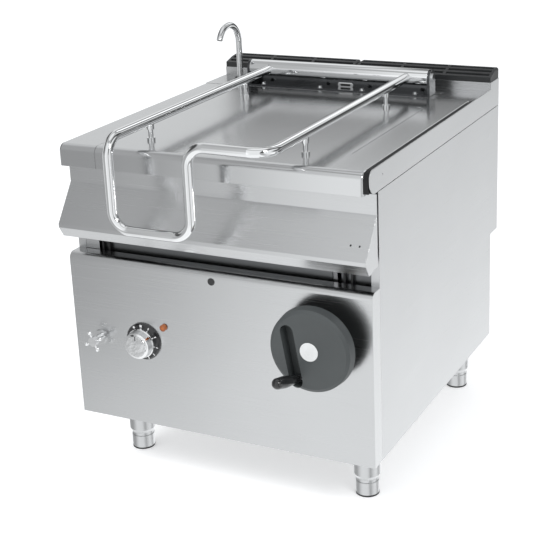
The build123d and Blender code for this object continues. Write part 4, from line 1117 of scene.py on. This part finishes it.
    def _dome(self) -> None:
        """Round card with the tones of the photograph's room, which only mirrors show."""
        bpy.ops.mesh.primitive_uv_sphere_add(segments=64, ring_count=32, radius=self.dome_radius,
                                             location=self.dome_place)
        dome = bpy.context.active_object
        dome.name = "studio_dome"
        dome.visible_camera = False
        dome.visible_diffuse = False
        dome.visible_transmission = False
        dome.visible_shadow = False
        sheet = NodeSheet("studio_dome")
        glow = sheet.add("ShaderNodeEmission", Color=self.dome_colour)
        tone = self._tone(sheet)
        sheet.join(tone[0], tone[1], glow, "Strength")
        sheet.join(glow, "Emission", sheet.output, "Surface")
        dome.data.materials.append(sheet.material)

    def _world(self) -> None:
        """White surroundings wherever they are seen, and a plain fill as light."""
        world = bpy.data.worlds.new("studio")
        bpy.context.scene.world = world
        tree = NodeTree(world)
        out = tree.add("ShaderNodeOutputWorld")
        fill = tree.add("ShaderNodeBackground", Color=(0.95, 0.97, 1.0, 1.0), Strength=self.fill)
        white = tree.add("ShaderNodeBackground", Color=WHITE, Strength=1.0)
        shown = tree.add("ShaderNodeMixShader")
        seen = tree.either("Is Camera Ray", "Is Glossy Ray", "Is Transmission Ray")
        tree.join(seen[0], seen[1], shown, 0)
        tree.join(fill, 0, shown, 1)
        tree.join(white, 0, shown, 2)
        tree.join(shown, 0, out, "Surface")

    def _lamp(self, name: str, place: Point, size: float, power: float, mirrored: bool) -> None:
        """Hang a soft square lamp that points at the machine.

        Args:
            name: The lamp's name.
            place: Where it hangs.
            size: Its side.
            power: Its power in watts.
            mirrored: Whether mirrors show it.
        """
        data = bpy.data.lights.new(name, "AREA")
        data.shape = "SQUARE"
        data.size = size
        data.energy = power
        lamp = bpy.data.objects.new(name, data)
        lamp.location = place
        lamp.rotation_mode = "QUATERNION"
        lamp.rotation_quaternion = (Vector(self.lamp_aim) - Vector(place)).to_track_quat("-Z", "Y")
        lamp.visible_glossy = mirrored
        bpy.context.scene.collection.objects.link(lamp)

    def build(self) -> None:
        """Set up floor, dome, world and lamps."""
        self._floor()
        self._dome()
        self._world()
        self._lamp("key_lamp", place=(-2.2, -2.6, 3.4), size=1.8, power=70.0, mirrored=False)
        self._lamp("fill_lamp", place=(3.0, -2.0, 3.0), size=1.0, power=40.0, mirrored=True)


@dataclass
class PhotoCamera:
    """Camera at the photograph's viewing angle.

    Attributes:
        place: Where it stands.
        yaw: Its turn to the left in degrees, with pitch downward and roll about its own axis.
        focal: Focal length in pixels of the photograph.
        centre: Pixel that the camera's axis meets.
        frame: Side of the photograph in pixels.
        sensor: Width of the sensor in millimetres.
    """

    place: Point = (1.4233, -2.7696, 1.6079)
    yaw: float = 26.86
    pitch: float = 18.35
    roll: float = -2.24
    focal: float = 1286.8
    centre: Pair = (290.0, 225.0)
    frame: float = 542.0
    sensor: float = 36.0

    def build(self) -> None:
        """Create the camera and make it the scene's."""
        data = bpy.data.cameras.new("photo_camera")
        data.sensor_fit = "HORIZONTAL"
        data.sensor_width = self.sensor
        data.lens = self.focal / self.frame * data.sensor_width
        data.shift_x = (self.frame / 2 - self.centre[0]) / self.frame
        data.shift_y = (self.centre[1] - self.frame / 2) / self.frame
        camera = bpy.data.objects.new("photo_camera", data)
        bpy.context.scene.collection.objects.link(camera)
        yaw, pitch, roll = (math.radians(a) for a in (self.yaw, self.pitch, self.roll))
        ahead = Vector((-math.sin(yaw) * math.cos(pitch), math.cos(yaw) * math.cos(pitch), -math.sin(pitch)))
        right = Vector((math.cos(yaw), math.sin(yaw), 0.0))
        up = right.cross(ahead)
        tilted_right = right * math.cos(roll) + up * math.sin(roll)
        tilted_up = up * math.cos(roll) - right * math.sin(roll)
        turn = Matrix((tilted_right, tilted_up, -ahead)).transposed().to_4x4()
        camera.matrix_world = Matrix.Translation(Vector(self.place)) @ turn
        bpy.context.scene.camera = camera


def dress_nodes(frame: dict, paint: Paint) -> None:
    """Give every carried-over node its finish.

    Args:
        paint: Builder of the finishes.
    """
    slots = {part["node"]: part["material_slot"] for part in frame["record"]["subparts"]}
    for name, node in frame["nodes"].items():
        paint.coat(node, NODE_FINISHES.get(name, SLOT_FINISHES[slots[name]]))
        node.data.shade_smooth()
        node.data.set_sharp_from_angle(angle=NODE_SHARP_ANGLE)
    log.info("dressed %d nodes", len(frame["nodes"]))


def main() -> None:
    """Dress the machine, add its trim and set up the studio."""
    logging.basicConfig(level=logging.INFO)
    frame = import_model()
    bpy.context.scene.view_settings.view_transform = "Standard"
    paint = Paint()
    dress_nodes(frame, paint)
    shop = Workshop(paint)
    for group in (ThermostatTrim(), LampTrim(), HingeTrim(), PlateTrim(), FootTrim(), LidTrim()):
        group.build(shop)
        log.info("%s: %d pieces so far", type(group).__name__, len(shop.made))
    Studio().build()
    PhotoCamera().build()


if __name__ == "__main__":
    main()
